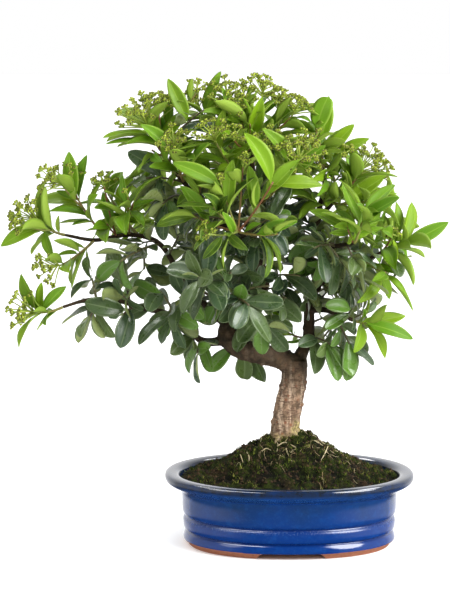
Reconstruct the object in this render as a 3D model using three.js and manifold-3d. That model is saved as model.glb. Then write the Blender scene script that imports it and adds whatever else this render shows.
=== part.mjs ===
// Firethorn bonsai in a glazed oval pot. Millimetres, +Z up.
// The tree is worked out round the middle of the pot. At the end everything is moved so that the middle of its
// bounding box stands over the origin, with the pot's feet on z = 0.

import * as THREE from "three";
import { mergeVertices } from "three/addons/utils/BufferGeometryUtils.js";
import Module from "manifold-3d";

const wasm = await Module();
wasm.setup();

// Pot
const RIM_LENGTH = 240;
const RIM_WIDTH = 188;
const POT_HEIGHT = 70;
const OVAL_POWER = 2.2; // 2 is an ellipse, more is squarer
const POT_SEGMENTS = 32;
const FLOOR_TOP = 12;
const FOOT_HEIGHT = 6;
const FOOT_RING = 10; // width of the foot ring
const FOOT_GAP = 66; // between the two feet, along the floor
const FOOT_GAP_SLOPE = 6; // how far the end of a foot leans over the gap at its top
const DRAIN_HOLE_RADIUS = 9;
const DRAIN_HOLE_X = 50;

// Drain mesh
const MESH_SIDE = 26;
const MESH_THICKNESS = 1.2;
const MESH_HOLES = 3; // along each side
const MESH_HOLE = 5.6;

// Soil
const SOIL_EDGE = 65; // height at the pot's wall
const MOUND_HEIGHT = 43; // of the mound above its edge
const CLEARANCE = 0.35; // between pieces that touch
const SHAPE_TOLERANCE = 0.03;

// Leafy shoots
const STEM_RADIUS = 1.6;
const STEM_TIP_RADIUS = 1.2;
const STEM_SIDES = 3;
const STEM_STEPS = 3;
const BARE_SHARE = 0.25; // part of a stem with no leaves, next to the limb
const LAST_LEAF = 0.95; // where the outermost leaves sit, as a share of the stem
const GOLDEN_TURN = 2.4; // radians from one leaf to the next round its stem
const TRIES = 12; // places tried for a leaf before it is left out
const REACH_FRONT = 1.2; // how much the outermost leaves turn their upper sides to the front
const CROWN_MIDDLE = [-45, 0, 290];
const LOWEST_LEAF = 150;

// Leaf kinds. edge is the outline: the share of the length and of the half width at each of its corners.
const leafKinds = {
  old: {
    colour: 0x3d5f3e,
    length: 40,
    slim: 0.2, // half width over length
    open: 1.15,
    lift: -0.35,
    bend: 0.14,
    thick: 1.1,
    edge: [[0, 0.06], [0.3, 0.56], [0.62, 1], [0.87, 0.74], [1, 0]],
  },
  young: {
    colour: 0x79b52f,
    length: 45,
    slim: 0.155,
    open: 0.95,
    lift: 0.12,
    bend: 0.24,
    thick: 1.1,
    edge: [[0, 0.08], [0.28, 0.64], [0.54, 1], [0.82, 0.66], [1, 0]],
  },
};

// How thick a leaf is along its length, as a share of its full thickness
const NECK = [[0, 0.5], [0.3, 1], [1, 1]];

// Bud clusters
const BUD_RADIUS = 2.2;
const BUD_STALK_RADIUS = 0.55;
const MIDDLE_STALK_RADIUS = 0.9;
const MIDDLE_STALK_SHARE = 0.55; // its length as a share of the cluster's
const BUD_SIDES = 4;

// Limbs: points along the middle of each, as x, y, z and radius. The first point of a limb is inside the one
// that it grows from.
const limbs = {
  trunk: {
    sides: 12,
    steps: 1,
    points: [
      [-4, 2, 74, 20], [-4, 2, 95, 17], [-4, 2, 107, 14], [-1, 2, 132, 13], [4, 2, 157, 12], [5, 2, 178, 12],
    ],
  },
  leader: {
    sides: 9,
    steps: 1,
    points: [
      [5, 2, 173, 10], [-13, -4, 181, 10], [-31, -10, 186, 10], [-49, -14, 192, 10], [-59, -12, 203, 10],
      [-56, -8, 214, 9.5], [-45, -4, 229, 9], [-31, 0, 242, 8.5], [-27, 4, 256, 8], [-33, 6, 274, 7],
      [-38, 6, 294, 6], [-34, 4, 320, 4.8], [-32, 2, 341, 3.6], [-36, 0, 362, 2.6], [-38, 0, 379, 1.8],
    ],
  },
  right: {
    sides: 7,
    steps: 1,
    points: [
      [6, 2, 171, 7], [13, 6, 186, 6], [18, 10, 198, 5.5], [19, 12, 217, 5.2], [19, 14, 235, 4.8],
      [27, 18, 248, 4.4], [31, 16, 270, 3.8], [27, 10, 292, 3.3], [27, 6, 317, 2.8], [32, 2, 341, 2.2],
      [32, 2, 362, 1.6],
    ],
  },
  low_left: {
    sides: 5,
    steps: 1,
    points: [
      [-57, -13, 199, 5], [-81, -14, 198, 3.4], [-93, -16, 206, 3], [-104, -18, 217, 2.8],
      [-118, -20, 226, 2.6], [-136, -22, 230, 2.4], [-162, -24, 238, 2.2], [-180, -24, 240, 2],
      [-196, -24, 238, 1.8], [-215, -24, 232, 1.5],
    ],
  },
  mid_left: {
    sides: 5,
    steps: 1,
    points: [
      [-56, -9, 210, 4.5], [-72, -4, 222, 3.2], [-102, 0, 256, 2.8], [-124, 4, 289, 2.5], [-153, 4, 298, 2.2],
      [-185, 2, 293, 1.9], [-214, 0, 298, 1.5],
    ],
  },
  top_left: {
    sides: 5,
    steps: 1,
    points: [
      [-35, 6, 280, 4], [-61, 0, 305, 2.8], [-89, -4, 335, 2.4], [-112, -6, 362, 1.9], [-122, -8, 378, 1.5],
    ],
  },
  right_mid: {
    sides: 5,
    steps: 1,
    points: [
      [29, 17, 250, 3.4], [44, 14, 257, 2.8], [60, 10, 264, 2.3], [75, 6, 274, 1.9], [88, 2, 282, 1.5],
    ],
  },
  right_low: {
    sides: 5,
    steps: 1,
    points: [[19, 13, 224, 3.4], [34, 0, 226, 2.7], [50, -10, 222, 2.1], [60, -14, 218, 1.6]],
  },
  right_top: {
    sides: 5,
    steps: 1,
    points: [[28, 7, 314, 2.6], [40, 2, 328, 2.1], [52, 0, 340, 1.6]],
  },
  back_left: {
    sides: 5,
    steps: 1,
    points: [[-34, 6, 276, 4], [-62, 36, 288, 2.8], [-98, 70, 302, 2.1], [-122, 92, 308, 1.5]],
  },
  back_mid: {
    sides: 5,
    steps: 1,
    points: [[-37, 5, 300, 3.6], [-32, 40, 322, 2.6], [-36, 76, 340, 1.8], [-42, 92, 350, 1.5]],
  },
  back_right: {
    sides: 5,
    steps: 1,
    points: [[31, 16, 262, 3.2], [50, 48, 276, 2.4], [74, 78, 290, 1.6]],
  },
  back_low: {
    sides: 5,
    steps: 1,
    points: [[-52, -6, 220, 4], [-60, 32, 234, 2.8], [-80, 68, 242, 1.8]],
  },
  front_left: {
    sides: 5,
    steps: 1,
    points: [[-48, -5, 226, 4], [-60, -38, 246, 2.8], [-72, -70, 258, 1.7]],
  },
  front_mid: {
    sides: 5,
    steps: 1,
    points: [[-36, 5, 288, 3.4], [-44, -32, 300, 2.5], [-50, -70, 308, 1.7]],
  },
  front_right: {
    sides: 5,
    steps: 1,
    points: [[29, 12, 282, 3], [42, -24, 290, 2.3], [58, -56, 296, 1.6]],
  },
};

// Leafy shoots: the limb that each grows from and how far along, the tips of its stems, its number of leaves,
// the places that its outermost leaves reach, and the length and half width of the bud cluster at its end.
const shoots = [
  {
    kind: "young", limb: "low_left", at: 1, tips: [[-236, -27, 227]], leaves: 6, buds: [30, 19],
    reach: [[-251, -34, 214], [-240, -18, 209], [-235, -30, 272], [-212, -20, 251]],
  },
  {
    kind: "old", limb: "low_left", at: 0.76, tips: [[-189, -36, 224], [-188, -12, 258]], leaves: 7,
    reach: [[-201, -42, 217], [-207, -20, 240]],
  },
  {
    kind: "old", limb: "low_left", at: 0.6, tips: [[-158, -36, 226], [-157, -6, 260]], leaves: 7,
    reach: [[-160, -44, 196], [-171, -4, 284], [-134, -42, 210], [-141, -20, 192]],
  },
  {
    kind: "old", limb: "low_left", at: 0.36, tips: [[-122, -34, 248], [-112, -38, 222]], leaves: 7,
    reach: [[-110, -46, 212]],
  },
  {
    kind: "old", limb: "low_left", at: 0.14, tips: [[-88, -34, 190]], leaves: 5,
    reach: [[-95, -40, 181], [-74, -30, 171]],
  },
  {
    kind: "young", limb: "mid_left", at: 1, tips: [[-234, 0, 306]], leaves: 5, buds: [34, 18],
    reach: [[-274, -6, 288], [-224, -14, 277]],
  },
  {
    kind: "young", limb: "mid_left", at: 0.84, tips: [[-216, -12, 271]], leaves: 6, buds: [26, 15],
    reach: [[-262, -16, 260], [-206, -24, 250], [-205, 6, 262]],
  },
  {
    kind: "young", limb: "mid_left", at: 0.78, tips: [[-205, 2, 338]], leaves: 7, buds: [30, 17],
    reach: [[-214, 4, 376], [-192, -6, 374], [-236, -8, 322]],
  },
  {
    kind: "young", limb: "mid_left", at: 0.62, tips: [[-174, 8, 338], [-148, -26, 330]], leaves: 7,
    buds: [17, 12], reach: [[-184, -30, 326], [-190, 0, 318]],
  },
  {
    kind: "old", limb: "mid_left", at: 0.5, tips: [[-160, -30, 276], [-140, 30, 262]], leaves: 7,
  },
  {
    kind: "old", limb: "mid_left", at: 0.24, tips: [[-104, -42, 240]], leaves: 7,
    reach: [[-81, -50, 250]],
  },
  {
    kind: "young", limb: "top_left", at: 1, tips: [[-132, -9, 396]], leaves: 7, buds: [34, 27],
    reach: [[-176, -12, 391], [-98, -16, 416]],
  },
  {
    kind: "young", limb: "top_left", at: 0.62, tips: [[-108, -44, 380]], leaves: 7, buds: [24, 14],
    reach: [[-132, -52, 366]],
  },
  {
    kind: "old", limb: "top_left", at: 0.45, tips: [[-140, 40, 334], [-120, -26, 330]], leaves: 7,
  },
  {
    kind: "young", limb: "leader", at: 1, tips: [[-50, -8, 412]], leaves: 7, buds: [30, 22],
    reach: [[-66, -12, 428]],
  },
  {
    kind: "young", limb: "leader", at: 0.93, tips: [[-84, 0, 414]], leaves: 7, buds: [24, 9],
    reach: [[-115, -4, 446], [-66, 4, 452]],
  },
  {
    kind: "young", limb: "leader", at: 0.9, tips: [[-8, 6, 408]], leaves: 7, buds: [28, 20],
  },
  {
    kind: "young", limb: "leader", at: 0.84, tips: [[-70, -52, 388]], leaves: 7, buds: [24, 15],
  },
  {
    kind: "young", limb: "leader", at: 0.8, tips: [[2, -54, 366]], leaves: 7, buds: [30, 24],
    reach: [[-28, -66, 402], [30, -56, 386]],
  },
  {
    kind: "young", limb: "leader", at: 0.86, tips: [[-38, 56, 402]], leaves: 7,
  },
  {
    kind: "young", limb: "right", at: 1, tips: [[26, 4, 400]], leaves: 7,
    reach: [[36, 4, 429], [60, 8, 402]],
  },
  {
    kind: "young", limb: "right_top", at: 1, tips: [[62, -2, 352]], leaves: 7, buds: [34, 16],
    reach: [[76, 6, 393], [92, 10, 352]],
  },
  {
    kind: "young", limb: "right_top", at: 0.5, tips: [[76, -26, 334]], leaves: 6,
    reach: [[101, -16, 336]],
  },
  {
    kind: "young", limb: "right_mid", at: 1, tips: [[108, 0, 289]], leaves: 7,
    reach: [[150, 0, 310], [149, -12, 282]],
  },
  {
    kind: "young", limb: "right_mid", at: 0.7, tips: [[90, -16, 264]], leaves: 7,
    reach: [[117, -18, 257], [92, 20, 250]],
  },
  {
    kind: "young", limb: "right_low", at: 1, tips: [[72, -20, 216]], leaves: 7,
    reach: [[115, -26, 202], [112, -10, 222], [34, -34, 184]],
  },
  {
    kind: "old", limb: "right_low", at: 0.45, tips: [[56, -18, 196], [34, 18, 198]], leaves: 7,
    reach: [[53, -26, 162], [74, -14, 176], [20, 4, 174]],
  },
  {
    kind: "old", limb: "front_left", at: 1, tips: [[-86, -90, 268]], leaves: 7,
  },
  {
    kind: "old", limb: "front_left", at: 0.5, tips: [[-40, -70, 240]], leaves: 7,
  },
  {
    kind: "young", limb: "front_mid", at: 1, tips: [[-72, -82, 332]], leaves: 7,
  },
  {
    kind: "old", limb: "front_mid", at: 0.5, tips: [[-14, -64, 322], [-92, -44, 318]], leaves: 7,
  },
  {
    kind: "young", limb: "front_right", at: 1, tips: [[66, -70, 324]], leaves: 7,
  },
  {
    kind: "old", limb: "front_right", at: 0.5, tips: [[20, -62, 292], [56, -40, 264]], leaves: 7,
    reach: [[35, -58, 248]],
  },
  {
    kind: "old", limb: "leader", at: 0.43, tips: [[-22, -46, 216]], leaves: 7,
    reach: [[-50, -62, 204], [-28, -62, 194], [-6, -60, 198]],
  },
  {
    kind: "young", limb: "back_left", at: 1, tips: [[-146, 112, 322], [-112, 106, 342]], leaves: 7,
  },
  {
    kind: "old", limb: "back_left", at: 0.5, tips: [[-104, 84, 268]], leaves: 7,
  },
  {
    kind: "young", limb: "back_mid", at: 1, tips: [[-46, 116, 370]], leaves: 7, buds: [22, 14],
  },
  {
    kind: "young", limb: "back_mid", at: 0.5, tips: [[6, 80, 352], [-78, 70, 368]], leaves: 7,
  },
  {
    kind: "young", limb: "back_right", at: 1, tips: [[96, 96, 306], [56, 92, 330]], leaves: 7,
  },
  {
    kind: "old", limb: "back_right", at: 0.45, tips: [[76, 60, 238]], leaves: 7,
  },
  {
    kind: "old", limb: "back_low", at: 1, tips: [[-100, 90, 226], [-38, 58, 196]], leaves: 7,
    reach: [[-46, 46, 152], [-27, 44, 152]],
  },
];

const up = new THREE.Vector3(0, 0, 1);
const vector = ([x, y, z]) => new THREE.Vector3(x, y, z);

// Two directions across an axis, at a right angle to each other
function across(axis) {
  const steep = Math.abs(axis.z) > 0.95;
  const first = new THREE.Vector3().crossVectors(axis, steep ? new THREE.Vector3(1, 0, 0) : up).normalize();
  return [first, new THREE.Vector3().crossVectors(first, axis)];
}

// Seeded random numbers from 0 to 1
function seeded(seed) {
  let state = seed >>> 0;
  return () => {
    state = (state + 0x6d2b79f5) >>> 0;
    let mixed = Math.imul(state ^ (state >>> 15), state | 1);
    mixed ^= mixed + Math.imul(mixed ^ (mixed >>> 7), mixed | 61);
    return ((mixed ^ (mixed >>> 14)) >>> 0) / 4294967296;
  };
}

// The value at place in a list of [place, value] pairs, on straight lines between them
function along(pairs, place) {
  let index = 1;
  while (index < pairs.length - 1 && pairs[index][0] < place) index += 1;
  const [from, low] = pairs[index - 1];
  const [to, high] = pairs[index];
  return low + ((high - low) * (place - from)) / (to - from);
}

// Solids: a closed geometry as a manifold, and back

function corners(geometry) {
  const bare = geometry.clone();
  bare.deleteAttribute("normal");
  bare.deleteAttribute("uv");
  const merged = mergeVertices(bare, 1e-4);
  const kept = [];
  const index = merged.index.array;
  for (let first = 0; first < index.length; first += 3) {
    const [a, b, c] = index.slice(first, first + 3);
    if (a !== b && b !== c && c !== a) kept.push(a, b, c);
  }
  return { places: merged.attributes.position.array, faces: kept };
}

function volumeOf({ places, faces }) {
  const at = (corner) => new THREE.Vector3().fromArray(places, corner * 3);
  let sum = 0;
  for (let first = 0; first < faces.length; first += 3) {
    const [a, b, c] = faces.slice(first, first + 3).map(at);
    sum += a.dot(b.cross(c));
  }
  return sum / 6;
}

function solid(geometry) {
  const shape = corners(geometry);
  if (volumeOf(shape) < 0) shape.faces.reverse();
  const mesh = new wasm.Mesh({
    numProp: 3,
    vertProperties: new Float32Array(shape.places),
    triVerts: new Uint32Array(shape.faces),
  });
  return new wasm.Manifold(mesh);
}

const join = (solids) => wasm.Manifold.union(solids);

// The largest of a solid's separate bodies
function largest(shape) {
  return shape.decompose().reduce((best, body) => (body.volume() > best.volume() ? body : best));
}

// One body, without loose scraps or the corners that its shape doesn't need
function tidied(shape) {
  return largest(largest(shape).asOriginal().simplify(SHAPE_TOLERANCE));
}

function geometryOf(shape) {
  const mesh = shape.getMesh();
  const geometry = new THREE.BufferGeometry();
  geometry.setAttribute("position", new THREE.BufferAttribute(new Float32Array(mesh.vertProperties), 3));
  geometry.setIndex(new THREE.BufferAttribute(new Uint32Array(mesh.triVerts), 1));
  geometry.computeVertexNormals();
  return geometry;
}

// Moves every corner of a geometry by a rule
function reshape(geometry, rule) {
  const place = geometry.attributes.position;
  const corner = new THREE.Vector3();
  for (let index = 0; index < place.count; index += 1) {
    rule(corner.fromBufferAttribute(place, index));
    place.setXYZ(index, corner.x, corner.y, corner.z);
  }
  return geometry;
}

// Pot, drain mesh and soil

const INNER_REACH = RIM_LENGTH / 2 - 30; // where the floor's flat part ends

// Turns a round lathe of the pot's length into its oval, with walls of even thickness
function ovalise(corner) {
  const radius = Math.hypot(corner.x, corner.y);
  const angle = Math.atan2(corner.y, corner.x);
  const narrower = (RIM_LENGTH - RIM_WIDTH) / 2;
  const inner = (INNER_REACH - narrower) / INNER_REACH;
  const depth = radius > INNER_REACH ? radius - narrower : radius * inner;
  const squared = (value) => Math.sign(value) * Math.abs(value) ** (2 / OVAL_POWER);
  corner.x = radius * squared(Math.cos(angle));
  corner.y = depth * squared(Math.sin(angle));
}

// A turned solid from [inset from the rim's edge, height] pairs, which start and end on the axis
function turned(profile) {
  const outline = profile.map(([inset, height]) => new THREE.Vector2(RIM_LENGTH / 2 - inset, height));
  const geometry = new THREE.LatheGeometry(outline, POT_SEGMENTS);
  geometry.rotateX(Math.PI / 2);
  return geometry;
}

const AXIS = RIM_LENGTH / 2;

function potSolid() {
  const foot = 20.3;
  const body = turned([
    [AXIS, FOOT_HEIGHT], [foot + FOOT_RING + 1, FOOT_HEIGHT], [foot + FOOT_RING, 0], [foot, 0], [foot, 5],
    [18.8, 9], [20.5, 14.3], [18, 21.5], [19.6, 28.6], [16.6, 36], [14.8, 54], [12.5, 60], [3, 62.8], [0, 66],
    [1.5, 69], [5, POT_HEIGHT], [11.5, POT_HEIGHT], [14, 68.5], [24, 16], [30, FLOOR_TOP], [AXIS, FLOOR_TOP],
  ]);
  const gap = new THREE.BoxGeometry(1, RIM_WIDTH, 2 * FOOT_HEIGHT);
  reshape(gap, (corner) => {
    const half = FOOT_GAP / 2 - (FOOT_GAP_SLOPE * corner.z) / FOOT_HEIGHT;
    corner.x = Math.sign(corner.x) * half;
  });
  const hole = new THREE.CylinderGeometry(DRAIN_HOLE_RADIUS, DRAIN_HOLE_RADIUS, 4 * FLOOR_TOP, 12);
  hole.rotateX(Math.PI / 2);
  const holes = [-DRAIN_HOLE_X, DRAIN_HOLE_X].map((x) => solid(hole.clone().translate(x, 0, 0)));
  return solid(reshape(body, ovalise)).subtract(join([solid(gap), ...holes]));
}

function drainMeshSolid(x) {
  const bottom = FLOOR_TOP + CLEARANCE;
  const plate = new THREE.BoxGeometry(MESH_SIDE, MESH_SIDE, MESH_THICKNESS);
  const pitch = MESH_SIDE / MESH_HOLES;
  const holes = [];
  for (let row = 0; row < MESH_HOLES; row += 1) {
    for (let column = 0; column < MESH_HOLES; column += 1) {
      const hole = new THREE.BoxGeometry(MESH_HOLE, MESH_HOLE, 2 * MESH_THICKNESS);
      hole.translate((column + 0.5) * pitch - MESH_SIDE / 2, (row + 0.5) * pitch - MESH_SIDE / 2, 0);
      holes.push(solid(hole));
    }
  }
  return solid(plate).subtract(join(holes)).translate([x, 0, bottom + MESH_THICKNESS / 2]);
}

// Small humps and hollows on the soil
const humps = (x, y) => 1.4 * Math.sin(x / 11 + y / 17) + 1.1 * Math.sin(y / 9 - x / 23);

function soilSolid(trunkHole) {
  const bottom = FLOOR_TOP + CLEARANCE;
  const edge = 15.8;
  const profile = [[AXIS, bottom], [30.4, bottom], [24.6, 16.4], [edge, SOIL_EDGE - 3]];
  const rings = 4;
  for (let ring = 0; ring <= rings; ring += 1) {
    const out = 1 - ring / rings;
    const height = SOIL_EDGE + MOUND_HEIGHT * (0.5 + 0.5 * Math.cos(Math.PI * out));
    profile.push([AXIS - (AXIS - edge) * out, height]);
  }
  const body = reshape(turned(profile), ovalise);
  reshape(body, (corner) => {
    const onTop = corner.z > SOIL_EDGE + 1;
    corner.z += onTop ? humps(corner.x, corner.y) : 0;
  });
  const pocket = MESH_SIDE + 2 * CLEARANCE;
  const pockets = [-DRAIN_HOLE_X, DRAIN_HOLE_X].map((x) => {
    const box = new THREE.BoxGeometry(pocket, pocket, 2 * (MESH_THICKNESS + CLEARANCE));
    return solid(box.translate(x, 0, bottom));
  });
  return solid(body).subtract(join([trunkHole, ...pockets]));
}

// Limbs

for (const limb of Object.values(limbs)) {
  limb.curve = new THREE.CatmullRomCurve3(limb.points.map(vector), false, "catmullrom", 0.5);
  limb.radii = limb.points.map(([, , , radius], index) => [index / (limb.points.length - 1), radius]);
}

// A closed tube along a curve, with a radius that changes along it. extra makes it larger all round.
function tube(curve, radii, sides, steps, extra = 0) {
  const geometry = new THREE.CylinderGeometry(1, 1, 1, sides, steps);
  const frames = curve.computeFrenetFrames(steps);
  return reshape(geometry, (corner) => {
    const place = corner.y + 0.5;
    const ring = Math.round(place * steps);
    const radius = along(radii, place) + extra;
    const middle = curve.getPoint(place);
    const end = (ring === steps ? extra : 0) - (ring === 0 ? extra : 0);
    middle.addScaledVector(frames.tangents[ring], end);
    middle.addScaledVector(frames.normals[ring], corner.x * radius);
    corner.copy(middle.addScaledVector(frames.binormals[ring], corner.z * radius));
  });
}

function limbSolid({ curve, radii, points, sides, steps }, extra) {
  return solid(tube(curve, radii, sides, steps * (points.length - 1), extra));
}

// Room: the space is cut into small cells, and each cell belongs to the first piece that fills it

const CELL = 3;
const STEP = 2.2; // between the points that stand for a leaf, less than a cell
const LEAF_MARGIN = 1.7; // kept free above and below a leaf
const WOOD_MARGIN = 1.4; // kept free round limbs, stems and stalks
const CLUSTER_FOOT = 3; // leaves may come this close round the foot of a cluster
const OWN_ROOM = 0.2; // share of a leaf that may pass through the room of its own shoot
const SHIFT = 0.137; // keeps round numbers off the cells' walls
const room = new Map();
const WOOD = -1;

function cellOf(point) {
  const [x, y, z] = point.toArray().map((value) => Math.floor((value + SHIFT) / CELL) + 512);
  return (x * 1024 + y) * 1024 + z;
}

function fillBall(middle, radius, owner) {
  const reachOut = Math.ceil(radius / CELL);
  for (let x = -reachOut; x <= reachOut; x += 1) {
    for (let y = -reachOut; y <= reachOut; y += 1) {
      for (let z = -reachOut; z <= reachOut; z += 1) {
        const offset = new THREE.Vector3(x, y, z).multiplyScalar(CELL);
        if (offset.length() > radius) continue;
        const cell = cellOf(offset.add(middle));
        if (!room.has(cell)) room.set(cell, owner);
      }
    }
  }
}

function fillTube(curve, radii, margin, owner) {
  const steps = Math.ceil(curve.getLength() / STEP);
  for (let step = 0; step <= steps; step += 1) {
    const place = step / steps;
    fillBall(curve.getPoint(place), along(radii, place) + margin, owner);
  }
}

// Leaves

// Middle line of a leaf: a curve from its base that bends away from its upper side
function leafMiddle(leaf, share) {
  const point = leaf.base.clone().addScaledVector(leaf.direction, leaf.length * share);
  return point.addScaledVector(leaf.normal, -leaf.length * leaf.bend * share * share);
}

function leafNormal(leaf, share) {
  const tilt = 2 * leaf.bend * share;
  return leaf.normal.clone().addScaledVector(leaf.direction, tilt).normalize();
}

// Points all over a leaf, with the share of its length that each is at
function leafPoints(leaf) {
  const points = [];
  const steps = Math.ceil(leaf.length / STEP);
  for (let step = 1; step <= steps; step += 1) {
    const share = step / steps;
    const half = leaf.halfWidth * along(leaf.kind.edge, share);
    const rows = Math.ceil(half / STEP);
    const middle = leafMiddle(leaf, share);
    for (let row = -rows; row <= rows; row += 1) {
      const point = middle.clone().addScaledVector(leaf.side, rows === 0 ? 0 : (half * row) / rows);
      points.push({ point, share });
    }
  }
  return points;
}

function leafFits(leaf, points, owner) {
  return points.every(({ point, share }) => {
    if (point.z < LOWEST_LEAF) return false;
    const holder = room.get(cellOf(point));
    return holder === undefined || (holder === owner && share < OWN_ROOM);
  });
}

function fillLeaf(leaf, points, owner) {
  for (const { point, share } of points) {
    const normal = leafNormal(leaf, share);
    for (const height of [-LEAF_MARGIN, 0, LEAF_MARGIN]) {
      const cell = cellOf(point.clone().addScaledVector(normal, height));
      if (!room.has(cell)) room.set(cell, owner);
    }
  }
}

// The upper side of a leaf turns to the sky and away from the middle of the crown, and also to the front by
// the share that is given
function facing(base, direction, draw, front = 0) {
  const out = base.clone().sub(vector(CROWN_MIDDLE)).normalize();
  const normal = new THREE.Vector3(1.4 * draw() - 0.7, 1.4 * draw() - 0.7, 1).addScaledVector(out, 1.1);
  normal.y -= front;
  normal.addScaledVector(direction, -normal.dot(direction));
  return normal.normalize();
}

// A leaf that reaches a given place, from the point on its stem that suits its length best
function reachingLeaf(kind, stem, target, attempt, draw) {
  const ideal = kind.length;
  let best;
  for (let step = 0; step <= 8; step += 1) {
    const base = stem.curve.getPoint(LAST_LEAF - step / 10);
    const distance = base.distanceTo(target);
    const misfit = Math.abs(distance - ideal);
    if (!best || misfit < best.misfit) best = { base, distance, misfit };
  }
  const direction = target.clone().sub(best.base).normalize();
  const normal = facing(best.base, direction, draw, REACH_FRONT);
  const bend = kind.bend * 0.8;
  const length = best.distance * (1 - 0.06 * attempt);
  direction.addScaledVector(normal, bend).normalize();
  normal.addScaledVector(direction, -normal.dot(direction)).normalize();
  return { kind, base: best.base, direction, normal, bend, length };
}

// A leaf at its turn round the stem. The first ones are at the stem's tip.
function turningLeaf(kind, stem, round, rounds, turn, attempt, draw) {
  const place = LAST_LEAF - ((LAST_LEAF - BARE_SHARE) * round) / rounds;
  const base = stem.curve.getPoint(place);
  const ahead = stem.curve.getTangent(place);
  const [first, second] = across(ahead);
  const angle = turn + GOLDEN_TURN * round + 0.9 * attempt + 0.5 * (draw() - 0.5);
  const open = kind.open * (1 - 0.45 * place) + 0.3 * (draw() - 0.5) + 0.25;
  const direction = ahead.multiplyScalar(Math.cos(open));
  direction.addScaledVector(first, Math.sin(open) * Math.cos(angle));
  direction.addScaledVector(second, Math.sin(open) * Math.sin(angle));
  direction.addScaledVector(up, kind.lift * (0.6 + 0.8 * draw())).normalize();
  const normal = facing(base, direction, draw);
  const shrink = attempt < 8 ? 1 : 0.75;
  const length = kind.length * (0.78 + 0.42 * draw()) * shrink;
  const bend = kind.bend * (0.6 + 0.8 * draw());
  return { kind, base, direction, normal, bend, length };
}

function finishLeaf(leaf, draw) {
  leaf.side = new THREE.Vector3().crossVectors(leaf.direction, leaf.normal);
  leaf.halfWidth = Math.min(leaf.length * leaf.kind.slim * (0.9 + 0.2 * draw()), 8.5);
  return leaf;
}

// Tries one leaf of a shoot in several places, and keeps the first that touches nothing
function growLeaf(shoot, number) {
  const kind = leafKinds[shoot.kind];
  const reach = shoot.reach ?? [];
  const stems = shoot.stems;
  for (let attempt = 0; attempt < TRIES; attempt += 1) {
    const draw = seeded(shoot.number * 4096 + number * 64 + attempt);
    let leaf;
    if (number < reach.length) {
      const target = vector(reach[number]);
      const gap = (stem) => stem.curve.getPoint(1).distanceTo(target);
      const stem = stems.reduce((best, other) => (gap(other) < gap(best) ? other : best));
      leaf = reachingLeaf(kind, stem, target, attempt, draw);
    } else {
      const turn = number - reach.length;
      const rounds = Math.ceil((shoot.leaves - reach.length) / stems.length);
      const round = Math.floor(turn / stems.length);
      leaf = turningLeaf(kind, stems[turn % stems.length], round, rounds, shoot.number, attempt, draw);
    }
    finishLeaf(leaf, draw);
    const points = leafPoints(leaf);
    if (leafFits(leaf, points, shoot.number)) {
      fillLeaf(leaf, points, shoot.number);
      shoot.grown.push(leaf);
      return;
    }
  }
}

// A thin blade with a keel under its middle: flat corners left and right, and one below
function leafSolid(leaf) {
  const { edge, thick } = leaf.kind;
  const outline = [new THREE.Vector2(0, 0)];
  for (const [share] of edge) outline.push(new THREE.Vector2(share < 1 ? 1 : 0, share));
  const geometry = new THREE.LatheGeometry(outline, 3);
  const cornerReach = Math.sin(Math.PI / 3);
  return solid(reshape(geometry, (corner) => {
    const share = corner.y;
    const radius = Math.hypot(corner.x, corner.z);
    const half = leaf.halfWidth * along(edge, share);
    const sideways = (corner.x / cornerReach) * half;
    const below = ((corner.z + 0.5 * radius) / 1.5) * thick * along(NECK, share);
    corner.copy(leafMiddle(leaf, share)).addScaledVector(leaf.side, sideways);
    corner.addScaledVector(leafNormal(leaf, share), -below);
  }));
}

// Shoots

const stemRadii = [[0, STEM_RADIUS], [1, STEM_TIP_RADIUS]];

// A stem that sets off from its limb and curves up to its tip, or over and down where its leaves are old
function stemCurve(start, tip, kind) {
  const middle = start.clone().lerp(tip, 0.5);
  middle.z += start.distanceTo(tip) * (kind === "old" ? 0.1 : -0.1);
  return { curve: new THREE.QuadraticBezierCurve3(start, middle, tip) };
}

function layOut(shoot, index) {
  shoot.number = index + 1;
  shoot.grown = [];
  const start = limbs[shoot.limb].curve.getPoint(shoot.at);
  const [mainTip, ...sideTips] = shoot.tips.map(vector);
  const main = stemCurve(start, mainTip, shoot.kind);
  const sides = sideTips.map((tip) => stemCurve(main.curve.getPoint(0.4), tip, shoot.kind));
  shoot.stems = [main, ...sides];
  for (const stem of shoot.stems) fillTube(stem.curve, stemRadii, WOOD_MARGIN, shoot.number);
}

function shootSolid(shoot, wood) {
  const stems = shoot.stems.map(({ curve }) => solid(tube(curve, stemRadii, STEM_SIDES, STEM_STEPS)));
  const whole = join([...stems, ...shoot.grown.map(leafSolid)]);
  return tidied(whole.subtract(wood));
}

// Bud clusters

const middleStalkRadii = [[0, MIDDLE_STALK_RADIUS], [1, MIDDLE_STALK_RADIUS]];
const budStalkRadii = [[0, BUD_STALK_RADIUS], [1, BUD_STALK_RADIUS]];

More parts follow.
